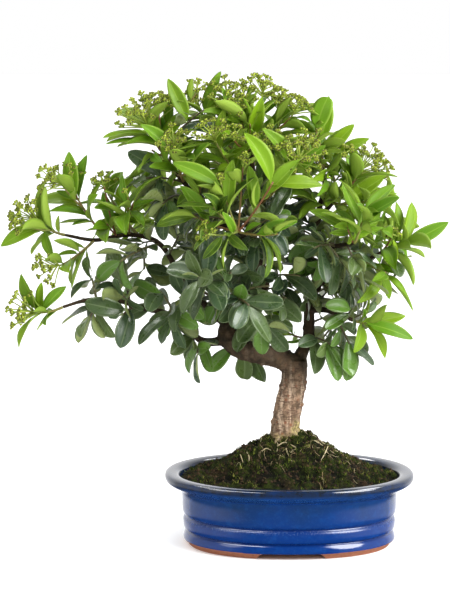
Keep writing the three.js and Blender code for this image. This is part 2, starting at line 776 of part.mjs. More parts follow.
// Where each bud of a cluster is, and where its stalk leaves the middle one
function budStalks(shoot) {
  const [length, halfWidth] = shoot.buds;
  const { curve } = shoot.stems[0];
  const axis = curve.getTangent(1).add(new THREE.Vector3(0, 0, 0.25)).normalize();
  const base = curve.getPoint(1).addScaledVector(curve.getTangent(1), 2 * CLEARANCE);
  const [first, second] = across(axis);
  const count = Math.round(2.5 + halfWidth / 5);
  const stalks = [];
  for (let number = 0; number < count; number += 1) {
    const draw = seeded(900000 + shoot.number * 64 + number);
    const out = Math.sqrt((number + 0.5) / count);
    const turn = GOLDEN_TURN * number + shoot.number;
    const height = length * (1 - 0.2 * out * out) * (0.9 + 0.2 * draw());
    const end = base.clone().addScaledVector(axis, height);
    end.addScaledVector(first, halfWidth * out * Math.cos(turn));
    end.addScaledVector(second, halfWidth * out * Math.sin(turn));
    const start = base.clone().addScaledVector(axis, length * (0.12 + 0.38 * (1 - out)));
    stalks.push({ start, end });
  }
  return { base, axis, length, stalks };
}

// A stalk with its bud as one slim club
function budSolid({ start, end }) {
  const length = start.distanceTo(end);
  const stalk = BUD_STALK_RADIUS;
  const outline = [
    [0, 0], [stalk, 0], [stalk, length - 1.6 * BUD_RADIUS], [BUD_RADIUS, length - 0.6 * BUD_RADIUS],
    [0, length + 0.6 * BUD_RADIUS],
  ];
  const geometry = new THREE.LatheGeometry(outline.map(([x, y]) => new THREE.Vector2(x, y)), BUD_SIDES);
  const direction = end.clone().sub(start).normalize();
  const turn = new THREE.Quaternion().setFromUnitVectors(new THREE.Vector3(0, 1, 0), direction);
  return solid(geometry.applyQuaternion(turn).translate(start.x, start.y, start.z));
}

function clusterSolid(shoot) {
  const { base, axis, length, stalks } = shoot.cluster;
  const top = base.clone().addScaledVector(axis, length * MIDDLE_STALK_SHARE);
  const middle = solid(tube(new THREE.LineCurve3(base, top), middleStalkRadii, BUD_SIDES, 1));
  return tidied(join([middle, ...stalks.map(budSolid)]));
}

function fillCluster(shoot) {
  shoot.cluster = budStalks(shoot);
  const { base, axis, length, stalks } = shoot.cluster;
  const owner = shoot.number + 0.5;
  const low = base.clone().addScaledVector(axis, CLUSTER_FOOT);
  const top = base.clone().addScaledVector(axis, length * MIDDLE_STALK_SHARE);
  fillTube(new THREE.LineCurve3(low, top), middleStalkRadii, WOOD_MARGIN, owner);
  for (const { start, end } of stalks) {
    fillTube(new THREE.LineCurve3(start, end), budStalkRadii, WOOD_MARGIN, owner);
    fillBall(end, BUD_RADIUS + WOOD_MARGIN, owner);
  }
}

// Growing: limbs, stems and bud clusters take their room first, then the leaves, one of each shoot at a time

for (const { curve, radii } of Object.values(limbs)) fillTube(curve, radii, WOOD_MARGIN, WOOD);
shoots.forEach(layOut);
const flowering = shoots.filter((shoot) => shoot.buds);
flowering.forEach(fillCluster);
const mostLeaves = Math.max(...shoots.map((shoot) => shoot.leaves));
for (let number = 0; number < mostLeaves; number += 1) {
  for (const shoot of shoots) {
    if (number < shoot.leaves) growLeaf(shoot, number);
  }
}

// The object

const object = new THREE.Group();

function piece(name, geometry, colour, roughness) {
  const material = new THREE.MeshStandardMaterial({ color: colour, roughness, metalness: 0 });
  const mesh = new THREE.Mesh(geometry, material);
  mesh.name = name;
  object.add(mesh);
}

const twoDigits = (number) => String(number).padStart(2, "0");

piece("pot", geometryOf(potSolid()), 0x1f4fb0, 0.15);
piece("drain_mesh_left", geometryOf(drainMeshSolid(-DRAIN_HOLE_X)), 0x2b2b2b, 0.6);
piece("drain_mesh_right", geometryOf(drainMeshSolid(DRAIN_HOLE_X)), 0x2b2b2b, 0.6);
piece("soil", geometryOf(soilSolid(limbSolid(limbs.trunk, CLEARANCE))), 0x2e2a1e, 0.95);
piece("trunk", geometryOf(join(Object.values(limbs).map((limb) => limbSolid(limb, 0)))), 0x7a6250, 0.85);

const woodWithRoom = join(Object.values(limbs).map((limb) => limbSolid(limb, CLEARANCE)));
for (const shoot of shoots) {
  const name = shoot.kind === "old" ? "old_spray" : "young_shoot";
  const geometry = geometryOf(shootSolid(shoot, woodWithRoom));
  piece(`${name}_${twoDigits(shoot.number)}`, geometry, leafKinds[shoot.kind].colour, 0.45);
}
for (const shoot of flowering) {
  piece(`bud_cluster_${twoDigits(shoot.number)}`, geometryOf(clusterSolid(shoot)), 0x8f9c3a, 0.6);
}

const middle = new THREE.Box3().setFromObject(object).getCenter(new THREE.Vector3());
object.position.set(-middle.x, -middle.y, 0);

export default object;
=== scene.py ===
import math

import bpy
import numpy as np
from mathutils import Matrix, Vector, noise


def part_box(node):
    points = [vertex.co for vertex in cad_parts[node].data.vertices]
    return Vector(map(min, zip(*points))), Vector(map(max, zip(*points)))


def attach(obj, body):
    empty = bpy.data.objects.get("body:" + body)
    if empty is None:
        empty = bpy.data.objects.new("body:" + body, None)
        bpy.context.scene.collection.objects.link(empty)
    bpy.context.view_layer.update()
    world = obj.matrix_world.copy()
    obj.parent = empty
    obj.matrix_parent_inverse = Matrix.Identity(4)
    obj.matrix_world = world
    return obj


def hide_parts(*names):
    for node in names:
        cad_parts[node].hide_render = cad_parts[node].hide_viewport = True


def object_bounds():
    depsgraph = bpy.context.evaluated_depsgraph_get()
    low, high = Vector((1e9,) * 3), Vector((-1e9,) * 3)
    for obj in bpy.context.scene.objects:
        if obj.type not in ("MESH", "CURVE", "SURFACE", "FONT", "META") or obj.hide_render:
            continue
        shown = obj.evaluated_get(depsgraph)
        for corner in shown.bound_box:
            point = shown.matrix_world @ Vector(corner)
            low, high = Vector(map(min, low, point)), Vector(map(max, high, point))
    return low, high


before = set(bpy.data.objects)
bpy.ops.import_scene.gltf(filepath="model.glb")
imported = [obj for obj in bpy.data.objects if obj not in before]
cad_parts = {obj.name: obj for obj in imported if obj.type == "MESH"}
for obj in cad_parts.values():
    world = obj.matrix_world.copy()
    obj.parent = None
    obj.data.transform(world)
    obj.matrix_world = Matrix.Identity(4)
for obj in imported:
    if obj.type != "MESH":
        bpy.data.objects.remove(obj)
cad_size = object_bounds()

MM = 0.001


def pot_middle():
    low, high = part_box("pot")
    return np.array([(low.x + high.x) / 2, (low.y + high.y) / 2, 0.0])


MIDDLE = pot_middle()

# Camera, as it stood for the photo: pixels of the photo are given as (right, down)
PHOTO_WIDTH = 450
PHOTO_HEIGHT = 600
CAMERA_DISTANCE = 2000
CAMERA_PITCH = math.radians(7.4)
CAMERA_AIM = np.array([-61.9, 0, 235.7])
CAMERA_LENS = 125.7
CAMERA_SENSOR = 36
PIXELS_AHEAD = CAMERA_LENS / CAMERA_SENSOR * PHOTO_HEIGHT
CAMERA_BACK = np.array([0, -math.cos(CAMERA_PITCH), math.sin(CAMERA_PITCH)])
CAMERA_UP = np.array([0, math.sin(CAMERA_PITCH), math.cos(CAMERA_PITCH)])
CAMERA_PLACE = CAMERA_AIM + CAMERA_DISTANCE * CAMERA_BACK

# Pot and soil
RIM_LENGTH = 240
RIM_WIDTH = 188
RIM_REACH = RIM_LENGTH / 2
NARROWER = (RIM_LENGTH - RIM_WIDTH) / 2  # how much less the pot reaches to its front than to its ends
POT_HEIGHT = 70
OVAL_POWER = 2.2
FLOOR_TOP = 12
FOOT_HEIGHT = 6
FOOT_GAP = 66
FOOT_GAP_SLOPE = 6
GLAZE_EDGE = 4.6  # height where the glaze stops over the bare foot
GROOVES = (28.4, 14.2)  # heights of the two grooves round the wall
GROOVE_HALF = 2.2
UNDER_LIP = 56  # height of the hollow under the lip, where the glaze gets painted shade
LIP_EDGE = 62  # from here up the glaze is thin
SHOULDER = 26  # height of the shoulder under the upper groove, where the glaze is duller
DRAIN_HOLE_RADIUS = 9
DRAIN_HOLE_X = 50
SOIL_INSET = 15.8  # from the rim's edge to the edge of the soil
SOIL_EDGE = 65
MOUND_HEIGHT = 43
CLEARANCE = 0.35

# Leafy shoots
STEM_RADIUS = 1.6
STEM_TIP_RADIUS = 1.2
FORK_SHARE = 0.4  # where the other stems of a shoot leave its main one
BARE_SHARE = 0.25
LAST_LEAF = 0.95
GOLDEN_TURN = 2.4
TRIES = 12
SMALL_AFTER = 8  # tries after which a leaf is made smaller
REACH_FRONT = 1.2  # how much the outermost leaves turn their upper sides to the front
CROWN_MIDDLE = np.array([-45.0, 0.0, 290.0])
LOWEST_LEAF = 150

# Kinds of leaves. slim: half the width by the length. open: angle to the stem. lift: how far it turns up.
# bend: how far it droops. edge: outline of the room it needs. widest and blunt: form of the blade. broad
# and trim: width and length of the blade, by those of its room. most: largest half width. fold: how much
# it folds.
LEAF_KINDS = {
    "old": {
        "length": 40, "slim": 0.2, "open": 1.15, "lift": -0.35, "bend": 0.14,
        "edge": [(0, 0.06), (0.3, 0.56), (0.62, 1), (0.87, 0.74), (1, 0)],
        "widest": 0.6, "blunt": 0.62, "broad": 1.08, "trim": 0.88, "most": 8.5, "fold": 0.14,
    },
    "young": {
        "length": 45, "slim": 0.155, "open": 0.95, "lift": 0.12, "bend": 0.24,
        "edge": [(0, 0.08), (0.28, 0.64), (0.54, 1), (0.82, 0.66), (1, 0)],
        "widest": 0.52, "blunt": 0.9, "broad": 1.0, "trim": 0.96, "most": 8.5, "fold": 0.28,
    },
    "oval": {
        "length": 33, "slim": 0.33, "open": 0.95, "lift": 0.12, "bend": 0.1,
        "edge": [(0, 0.1), (0.3, 0.7), (0.6, 1), (0.87, 0.8), (1, 0)],
        "widest": 0.6, "blunt": 0.5, "broad": 1.0, "trim": 1.0, "most": 10.2, "fold": 0.1,
    },
}

# Bud clusters
BUD_RADIUS = 2.2
BUD_STALK_RADIUS = 0.55
MIDDLE_STALK_RADIUS = 0.9
MIDDLE_STALK_SHARE = 0.55

# Limbs: points along the middle of each, as x, y, z and radius
LIMBS = {
    "trunk": [
        (-4, 2, 74, 20), (-4, 2, 95, 17), (-4, 2, 107, 14), (-1, 2, 132, 13), (4, 2, 157, 12),
        (5, 2, 178, 12),
    ],
    "leader": [
        (5, 2, 173, 10), (-13, -4, 181, 10), (-31, -10, 186, 10), (-49, -14, 192, 10), (-59, -12, 203, 10),
        (-56, -8, 214, 9.5), (-45, -4, 229, 9), (-31, 0, 242, 8.5), (-27, 4, 256, 8), (-33, 6, 274, 7),
        (-38, 6, 294, 6), (-34, 4, 320, 4.8), (-32, 2, 341, 3.6), (-36, 0, 362, 2.6), (-38, 0, 379, 1.8),
    ],
    "right": [
        (6, 2, 171, 7), (13, 6, 186, 6), (18, 10, 198, 5.5), (19, 12, 217, 5.2), (19, 14, 235, 4.8),
        (27, 18, 248, 4.4), (31, 16, 270, 3.8), (27, 10, 292, 3.3), (27, 6, 317, 2.8), (32, 2, 341, 2.2),
        (32, 2, 362, 1.6),
    ],
    "low_left": [
        (-57, -13, 199, 5), (-81, -14, 198, 3.4), (-93, -16, 206, 3), (-104, -18, 217, 2.8),
        (-118, -20, 226, 2.6), (-136, -22, 230, 2.4), (-162, -24, 238, 2.2), (-180, -24, 240, 2),
        (-196, -24, 238, 1.8), (-215, -24, 232, 1.5),
    ],
    "mid_left": [
        (-56, -9, 210, 4.5), (-72, -4, 222, 3.2), (-102, 0, 256, 2.8), (-124, 4, 289, 2.5),
        (-153, 4, 298, 2.2), (-185, 2, 293, 1.9), (-214, 0, 298, 1.5),
    ],
    "top_left": [
        (-35, 6, 280, 4), (-61, 0, 305, 2.8), (-89, -4, 335, 2.4), (-112, -6, 362, 1.9),
        (-122, -8, 378, 1.5),
    ],
    "right_mid": [
        (29, 17, 250, 3.4), (44, 14, 257, 2.8), (60, 10, 264, 2.3), (75, 6, 274, 1.9), (88, 2, 282, 1.5),
    ],
    "right_low": [(19, 13, 224, 3.4), (34, 0, 226, 2.7), (50, -10, 222, 2.1), (60, -14, 218, 1.6)],
    "right_top": [(28, 7, 314, 2.6), (40, 2, 328, 2.1), (52, 0, 340, 1.6)],
    "back_left": [(-34, 6, 276, 4), (-62, 36, 288, 2.8), (-98, 70, 302, 2.1), (-122, 92, 308, 1.5)],
    "back_mid": [(-37, 5, 300, 3.6), (-32, 40, 322, 2.6), (-36, 76, 340, 1.8), (-42, 92, 350, 1.5)],
    "back_right": [(31, 16, 262, 3.2), (50, 48, 276, 2.4), (74, 78, 290, 1.6)],
    "back_low": [(-52, -6, 220, 4), (-60, 32, 234, 2.8), (-80, 68, 242, 1.8)],
    "front_left": [(-48, -5, 226, 4), (-60, -38, 246, 2.8), (-72, -70, 258, 1.7)],
    "front_mid": [(-36, 5, 288, 3.4), (-44, -32, 300, 2.5), (-50, -70, 308, 1.7)],
    "front_right": [(29, 12, 282, 3), (42, -24, 290, 2.3), (58, -56, 296, 1.6)],
}


def young(limb, at, tips, leaves, reach=(), buds=None):
    return {
        "kind": "young", "limb": limb, "at": at, "tips": tips, "leaves": leaves, "reach": reach,
        "buds": buds,
    }


def old(*plan):
    return young(*plan) | {"kind": "old"}


# Leafy shoots, in the order of their nodes: the limb and how far along it, the tips of the stems, the number
# of leaves, the places that the outermost ones reach, and the length and half width of the bud cluster
SHOOTS = [
    young("low_left", 1, [(-236, -27, 227)], 6,
          [(-251, -34, 214), (-240, -18, 209), (-235, -30, 272), (-212, -20, 251)], (30, 19)),
    old("low_left", 0.76, [(-189, -36, 224), (-188, -12, 258)], 7, [(-201, -42, 217), (-207, -20, 240)]),
    old("low_left", 0.6, [(-158, -36, 226), (-157, -6, 260)], 7,
        [(-160, -44, 196), (-171, -4, 284), (-134, -42, 210), (-141, -20, 192)]),
    old("low_left", 0.36, [(-122, -34, 248), (-112, -38, 222)], 7, [(-110, -46, 212)]),
    old("low_left", 0.14, [(-88, -34, 190)], 5, [(-95, -40, 181), (-74, -30, 171)]),
    young("mid_left", 1, [(-234, 0, 306)], 5, [(-274, -6, 288), (-224, -14, 277)], (34, 18)),
    young("mid_left", 0.84, [(-216, -12, 271)], 6,
          [(-262, -16, 260), (-206, -24, 250), (-205, 6, 262)], (26, 15)),
    young("mid_left", 0.78, [(-205, 2, 338)], 7,
          [(-214, 4, 376), (-192, -6, 374), (-236, -8, 322)], (30, 17)),
    young("mid_left", 0.62, [(-174, 8, 338), (-148, -26, 330)], 7,
          [(-184, -30, 326), (-190, 0, 318)], (17, 12)),
    old("mid_left", 0.5, [(-160, -30, 276), (-140, 30, 262)], 7),
    old("mid_left", 0.24, [(-104, -42, 240)], 7, [(-81, -50, 250)]),
    young("top_left", 1, [(-132, -9, 396)], 7, [(-176, -12, 391), (-98, -16, 416)], (34, 27)),
    young("top_left", 0.62, [(-108, -44, 380)], 7, [(-132, -52, 366)], (24, 14)),
    old("top_left", 0.45, [(-140, 40, 334), (-120, -26, 330)], 7),
    young("leader", 1, [(-50, -8, 412)], 7, [(-66, -12, 428)], (30, 22)),
    young("leader", 0.93, [(-84, 0, 414)], 7, [(-115, -4, 446), (-66, 4, 452)], (24, 9)),
    young("leader", 0.9, [(-8, 6, 408)], 7, (), (28, 20)),
    young("leader", 0.84, [(-70, -52, 388)], 7, (), (24, 15)),
    young("leader", 0.8, [(2, -54, 366)], 7, [(-28, -66, 402), (30, -56, 386)], (30, 24)),
    young("leader", 0.86, [(-38, 56, 402)], 7),
    young("right", 1, [(26, 4, 400)], 7, [(36, 4, 429), (60, 8, 402)]),
    young("right_top", 1, [(62, -2, 352)], 7, [(76, 6, 393), (92, 10, 352)], (34, 16)),
    young("right_top", 0.5, [(76, -26, 334)], 6, [(101, -16, 336)]),
    young("right_mid", 1, [(108, 0, 289)], 7, [(150, 0, 310), (149, -12, 282)]),
    young("right_mid", 0.7, [(90, -16, 264)], 7, [(117, -18, 257), (92, 20, 250)]),
    young("right_low", 1, [(72, -20, 216)], 7, [(115, -26, 202), (112, -10, 222), (34, -34, 184)]),
    old("right_low", 0.45, [(56, -18, 196), (34, 18, 198)], 7,
        [(53, -26, 162), (74, -14, 176), (20, 4, 174)]),
    old("front_left", 1, [(-86, -90, 268)], 7),
    old("front_left", 0.5, [(-40, -70, 240)], 7),
    young("front_mid", 1, [(-72, -82, 332)], 7),
    old("front_mid", 0.5, [(-14, -64, 322), (-92, -44, 318)], 7),
    young("front_right", 1, [(66, -70, 324)], 7),
    old("front_right", 0.5, [(20, -62, 292), (56, -40, 264)], 7, [(35, -58, 248)]),
    old("leader", 0.43, [(-22, -46, 216)], 7, [(-50, -62, 204), (-28, -62, 194), (-6, -60, 198)]),
    young("back_left", 1, [(-146, 112, 322), (-112, 106, 342)], 7),
    old("back_left", 0.5, [(-104, 84, 268)], 7),
    young("back_mid", 1, [(-46, 116, 370)], 7, (), (22, 14)),
    young("back_mid", 0.5, [(6, 80, 352), (-78, 70, 368)], 7),
    young("back_right", 1, [(96, 96, 306), (56, 92, 330)], 7),
    old("back_right", 0.45, [(76, 60, 238)], 7),
    old("back_low", 1, [(-100, 90, 226), (-38, 58, 196)], 7, [(-46, 46, 152), (-27, 44, 152)]),
]

UP = np.array([0.0, 0.0, 1.0])
WORD = 0xFFFFFFFF
NEARBY = 1e-4
LENGTH_STEPS = 200

# Seeds of what grows or is made by chance
SEEDS = {
    "stalks": 900000, "reach": 31000, "sprig": 41000, "twig": 500000, "twig leaf": 70000, "spare": 20000,
    "shoots": 3000, "sprigs": 4000, "twigs": 4100, "cluster": 6000, "grains": 71, "moss": 72, "roots": 73,
}


def seeded(seed):
    """Seeded random numbers from 0 to 1, the same ones as in the part's source"""
    state = seed & WORD

    def draw():
        nonlocal state
        state = (state + 0x6D2B79F5) & WORD
        mixed = ((state ^ (state >> 15)) * (state | 1)) & WORD
        mixed ^= (mixed + (((mixed ^ (mixed >> 7)) * (mixed | 61)) & WORD)) & WORD
        return (mixed ^ (mixed >> 14)) / 4294967296

    return draw


def unit(vector):
    return vector / math.sqrt(float(vector @ vector))


def along(pairs, place):
    """The value at a place between pairs of place and value"""
    index = 1
    while index < len(pairs) - 1 and pairs[index][0] < place:
        index += 1
    start, low = pairs[index - 1]
    end, high = pairs[index]
    return low + (high - low) * (place - start) / (end - start)


def across(axis):
    """Two directions across an axis, at a right angle to each other"""
    side = np.array([1.0, 0.0, 0.0]) if abs(axis[2]) > 0.95 else UP
    first = unit(np.cross(axis, side))
    return first, np.cross(first, axis)


class Curve:
    """A curve given by a rule from 0 to 1"""

    def __init__(self, rule):
        self.point = rule

    def tangent(self, place):
        low, high = max(place - NEARBY, 0.0), min(place + NEARBY, 1.0)
        return unit(self.point(high) - self.point(low))

    def length(self):
        points = [self.point(step / LENGTH_STEPS) for step in range(LENGTH_STEPS + 1)]
        return sum(math.dist(a, b) for a, b in zip(points, points[1:]))


def spline(points):
    """A smooth curve through points"""
    points = [np.array(point, float) for point in points]
    last = len(points) - 1

    def rule(place):
        index = min(int(place * last), last - 1)
        weight = place * last - index
        one, two = points[index], points[index + 1]
        before = points[index - 1] if index > 0 else 2 * one - two
        after = points[index + 2] if index + 2 <= last else 2 * two - one
        start, end = (two - before) / 2, (after - one) / 2
        square = 2 * two - 2 * one
        return (
            one + start * weight + (1.5 * square - 2 * start - end) * weight**2
            + (start + end - square) * weight**3
        )

    return Curve(rule)


def arc(start, middle, end):
    def rule(place):
        rest = 1 - place
        return start * (rest * rest) + middle * (2 * rest * place) + end * (place * place)

    return Curve(rule)


def line(start, end):
    return Curve(lambda place: start + (end - start) * place)


# Room: small cells, each held by the first piece that fills it, as in the part's source
CELL = 3
STEP = 2.2
LEAF_MARGIN = 1.7
WOOD_MARGIN = 1.4
CLUSTER_FOOT = 3
OWN_ROOM = 0.2
SHIFT = 0.137
WOOD = -1
ROOM_SIZE = (260, 220, 190)
ROOM_MIDDLE = np.array([130, 110, 20])
room = np.zeros(ROOM_SIZE, np.int16)  # twice the owner's number, 0 where free


def cells(points):
    index = np.floor((points + SHIFT) / CELL).astype(int) + ROOM_MIDDLE
    return index[..., 0], index[..., 1], index[..., 2]


def claim(points, owner):
    """Gives an owner the cells at points that are still free"""
    place = cells(points)
    held = room[place]
    room[place] = np.where(held == 0, int(2 * owner), held)


def fill_ball(middle, radius, owner):
    reach = math.ceil(radius / CELL)
    steps = np.arange(-reach, reach + 1) * CELL
    grid = np.stack(np.meshgrid(steps, steps, steps, indexing="ij"), -1).reshape(-1, 3)
    inside = grid[np.linalg.norm(grid, axis=1) <= radius]
    claim(inside + middle, owner)


def fill_tube(curve, radii, margin, owner):
    steps = math.ceil(curve.length() / STEP)
    for step in range(steps + 1):
        place = step / steps
        fill_ball(curve.point(place), along(radii, place) + margin, owner)


# Leaves


def new_leaf(kind, base, direction, normal, bend, length, trim=1):
    return {
        "kind": kind, "base": base, "direction": direction, "normal": normal, "bend": bend, "length": length,
        "trim": trim, "bright": False,
    }


def leaf_points(leaf):
    """Points all over a leaf, and the share of its length that each is at"""
    steps = math.ceil(leaf["length"] / STEP)
    shares, offsets = [], []
    for step in range(1, steps + 1):
        share = step / steps
        half = leaf["half"] * along(leaf["kind"]["edge"], share)
        rows = math.ceil(half / STEP)
        for row in range(-rows, rows + 1):
            shares.append(share)
            offsets.append(half * row / rows if rows else 0.0)
    shares, offsets = np.array(shares), np.array(offsets)
    points = leaf_middle(leaf, shares) + offsets[:, None] * leaf["side"]
    return points, shares


def leaf_middle(leaf, shares):
    """Middle line of a leaf: it bends away from its upper side"""
    forward = shares[:, None] * leaf["length"] * leaf["direction"]
    droop = (leaf["length"] * leaf["bend"] * shares * shares)[:, None] * leaf["normal"]
    return leaf["base"] + forward - droop


def leaf_normal(leaf, shares):
    normal = leaf["normal"] + (2 * leaf["bend"] * shares)[:, None] * leaf["direction"]
    return normal / np.linalg.norm(normal, axis=1)[:, None]


def free_points(points, shares, owner):
    """Which points of a leaf lie in free room, or at its foot in the room of its own shoot"""
    held = room[cells(points)]
    return (held == 0) | ((held == int(2 * owner)) & (shares < OWN_ROOM))


def fill_leaf(leaf, points, shares, owner, margin=LEAF_MARGIN):
    normals = leaf_normal(leaf, shares)
    for height in (-margin, 0, margin):
        claim(points + height * normals, owner)


def facing(base, direction, draw, front=0.0):
    """The upper side of a leaf turns to the sky, away from the middle of the crown, and also to the front"""
    out = unit(base - CROWN_MIDDLE)
    normal = np.array([1.4 * draw() - 0.7, 1.4 * draw() - 0.7, 1.0]) + 1.1 * out - np.array([0, front, 0])
    return unit(normal - direction * (normal @ direction))


def reaching_leaf(kind, stem, target, attempt, draw):
    """A leaf whose tip is at a target, from where its length fits best"""
    bases = [stem.point(LAST_LEAF - step / 10) for step in range(9)]
    base = min(bases, key=lambda place: abs(math.dist(place, target) - kind["length"]))
    direction = unit(target - base)
    normal = facing(base, direction, draw, REACH_FRONT)
    bend = kind["bend"] * 0.8
    direction = unit(direction + normal * bend)
    normal = unit(normal - direction * (normal @ direction))
    return new_leaf(kind, base, direction, normal, bend, math.dist(base, target) * (1 - 0.06 * attempt))


def turning_leaf(kind, stem, turn_round, rounds, turn, attempt, draw):
    """A leaf at its turn round the stem. The first ones are at the stem's tip."""
    place = LAST_LEAF - ((LAST_LEAF - BARE_SHARE) * turn_round) / rounds
    ahead = stem.tangent(place)
    first, second = across(ahead)
    angle = turn + GOLDEN_TURN * turn_round + 0.9 * attempt + 0.5 * (draw() - 0.5)
    opening = kind["open"] * (1 - 0.45 * place) + 0.3 * (draw() - 0.5) + 0.25
    direction = ahead * math.cos(opening)
    direction = direction + first * (math.sin(opening) * math.cos(angle))
    direction = direction + second * (math.sin(opening) * math.sin(angle))
    direction = unit(direction + UP * (kind["lift"] * (0.6 + 0.8 * draw())))
    base = stem.point(place)
    normal = facing(base, direction, draw)
    shrink = 1 if attempt < SMALL_AFTER else 0.75
    length = kind["length"] * (0.78 + 0.42 * draw()) * shrink
    bend = kind["bend"] * (0.6 + 0.8 * draw())
    return new_leaf(kind, base, direction, normal, bend, length, kind["trim"])


def finish_leaf(leaf, draw):
    kind = leaf["kind"]
    leaf["side"] = np.cross(leaf["direction"], leaf["normal"])
    leaf["half"] = min(leaf["length"] * kind["slim"] * (0.9 + 0.2 * draw()), kind["most"])


def grow_leaf(shoot, number):
    """Tries one leaf of a shoot in several places, and keeps the first that touches nothing"""
    kind = LEAF_KINDS[shoot["kind"]]
    stems = shoot["stems"]
    reach = shoot["reach"]
    for attempt in range(TRIES):
        draw = seeded(shoot["number"] * 4096 + number * 64 + attempt)
        if number < len(reach):
            target = np.array(reach[number], float)
            stem = min(stems, key=lambda other: math.dist(other.point(1.0), target))
            leaf = reaching_leaf(kind, stem, target, attempt, draw)
        else:
            turn = number - len(reach)
            rounds = math.ceil((shoot["leaves"] - len(reach)) / len(stems))
            stem = stems[turn % len(stems)]
            leaf = turning_leaf(kind, stem, turn // len(stems), rounds, shoot["number"], attempt, draw)
        finish_leaf(leaf, draw)
        points, shares = leaf_points(leaf)
        if points[:, 2].min() >= LOWEST_LEAF and free_points(points, shares, shoot["number"]).all():
            fill_leaf(leaf, points, shares, shoot["number"])
            shoot["grown"].append(leaf)
            return


# Shoots and bud clusters
STEM_RADII = [(0, STEM_RADIUS), (1, STEM_TIP_RADIUS)]
MIDDLE_STALK_RADII = [(0, MIDDLE_STALK_RADIUS), (1, MIDDLE_STALK_RADIUS)]
BUD_STALK_RADII = [(0, BUD_STALK_RADIUS), (1, BUD_STALK_RADIUS)]


def stem_curve(start, tip, kind):
    """A stem that curves up to its tip, or over and down where its leaves are old"""
    middle = start + (tip - start) * 0.5
    middle[2] += math.dist(start, tip) * (0.1 if kind == "old" else -0.1)
    return arc(start, middle, tip)


def lay_out(shoot, number):
    shoot["number"] = number
    shoot["grown"] = []
    start = curves[shoot["limb"]].point(shoot["at"])
    tips = [np.array(tip, float) for tip in shoot["tips"]]
    main = stem_curve(start, tips[0], shoot["kind"])
    shoot["stems"] = [main] + [stem_curve(main.point(FORK_SHARE), tip, shoot["kind"]) for tip in tips[1:]]
    for stem in shoot["stems"]:
        fill_tube(stem, STEM_RADII, WOOD_MARGIN, number)


def stalk_ends(shoot, base, axis, count):
    """Where each stalk of a cluster leaves the middle one, and where it ends under its buds"""
    length, half_width = shoot["buds"]
    first, second = across(axis)
    stalks = []
    for number in range(count):
        draw = seeded(SEEDS["stalks"] + shoot["number"] * 64 + number)
        out = math.sqrt((number + 0.5) / count)
        turn = GOLDEN_TURN * number + shoot["number"]
        height = length * (1 - 0.2 * out * out) * (0.9 + 0.2 * draw())
        end = base + axis * height
        end = end + first * (half_width * out * math.cos(turn))
        end = end + second * (half_width * out * math.sin(turn))
        start = base + axis * (length * (0.12 + 0.38 * (1 - out)))
        stalks.append((start, end))
    return stalks


def lay_out_cluster(shoot):
    stem = shoot["stems"][0]
    axis = unit(stem.tangent(1.0) + np.array([0, 0, 0.25]))
    base = stem.point(1.0) + stem.tangent(1.0) * (2 * CLEARANCE)
    length, half_width = shoot["buds"]
    stalks = stalk_ends(shoot, base, axis, 3 + half_width // 5)
    shoot["cluster"] = {"base": base, "axis": axis, "stalks": stalks}
    owner = shoot["number"] + 0.5
    top = base + axis * (length * MIDDLE_STALK_SHARE)
    fill_tube(line(base + axis * CLUSTER_FOOT, top), MIDDLE_STALK_RADII, WOOD_MARGIN, owner)
    for start, end in stalks:
        fill_tube(line(start, end), BUD_STALK_RADII, WOOD_MARGIN, owner)
        fill_ball(end, BUD_RADIUS + WOOD_MARGIN, owner)


curves = {name: spline([point[:3] for point in points]) for name, points in LIMBS.items()}
limb_radii = {
    name: [(index / (len(points) - 1), point[3]) for index, point in enumerate(points)]
    for name, points in LIMBS.items()
}
for name, curve in curves.items():
    fill_tube(curve, limb_radii[name], WOOD_MARGIN, WOOD)
for index, shoot in enumerate(SHOOTS):
    lay_out(shoot, index + 1)
flowering = [shoot for shoot in SHOOTS if shoot["buds"]]
for shoot in flowering:
    lay_out_cluster(shoot)
for number in range(max(shoot["leaves"] for shoot in SHOOTS)):
    for shoot in SHOOTS:
        if number < shoot["leaves"]:
            grow_leaf(shoot, number)

# More leaves than the solids have
SPARE_MARGIN = 0.9
SPARE_TRIES = 8
SPARE_ROLL = 1.1  # how far a spare leaf may turn about its midrib
SPARE_SIZE = 0.8
SPARE_COUNT = 5  # for each stem of a shoot
LOWEST_SPARE = LOWEST_LEAF - 4
REACH_OUT = 4  # how far a leaf may grow out of the box of the solids
LOW = np.array(cad_size[0]) / MM - MIDDLE / MM - REACH_OUT
HIGH = np.array(cad_size[1]) / MM - MIDDLE / MM + REACH_OUT
CROWDED = 0.06  # share of a leaf that may lie where other leaves are
CROWDED_REACH = 0.5

# Where the photo shows the crown open: boxes of pixels as left, top, right and bottom, and the share of the
# spare leaves that stay there
AIRY = [
    ((133, 262, 184, 334), 0.12),
    ((40, 258, 92, 334), 0.35),
    ((0, 296, 45, 334), 0.3),
    ((90, 296, 135, 350), 0.15),
    ((135, 334, 180, 352), 0.4),
    ((180, 336, 232, 392), 0.12),
    ((135, 230, 182, 262), 0.3),
    ((358, 330, 410, 368), 0.2),
    ((388, 192, 450, 232), 0.35),
]


def in_box(points):
    return bool(np.all(points >= LOW) and np.all(points <= HIGH))


def pixel_of(point):
    """The pixel of the photo at which the camera sees a point"""
    offset = point - CAMERA_PLACE
    ahead = -float(offset @ CAMERA_BACK)
    right = PIXELS_AHEAD * offset[0] / ahead
    up = PIXELS_AHEAD * float(offset @ CAMERA_UP) / ahead
    return PHOTO_WIDTH / 2 + right, PHOTO_HEIGHT / 2 - up


def is_airy(point, chance):
    """Whether the crown is open at a point, for a leaf with a chance from 0 to 1"""
    x, y = pixel_of(point)
    return any(
        left <= x <= right and top <= y <= bottom and chance > share
        for (left, top, right, bottom), share in AIRY
    )


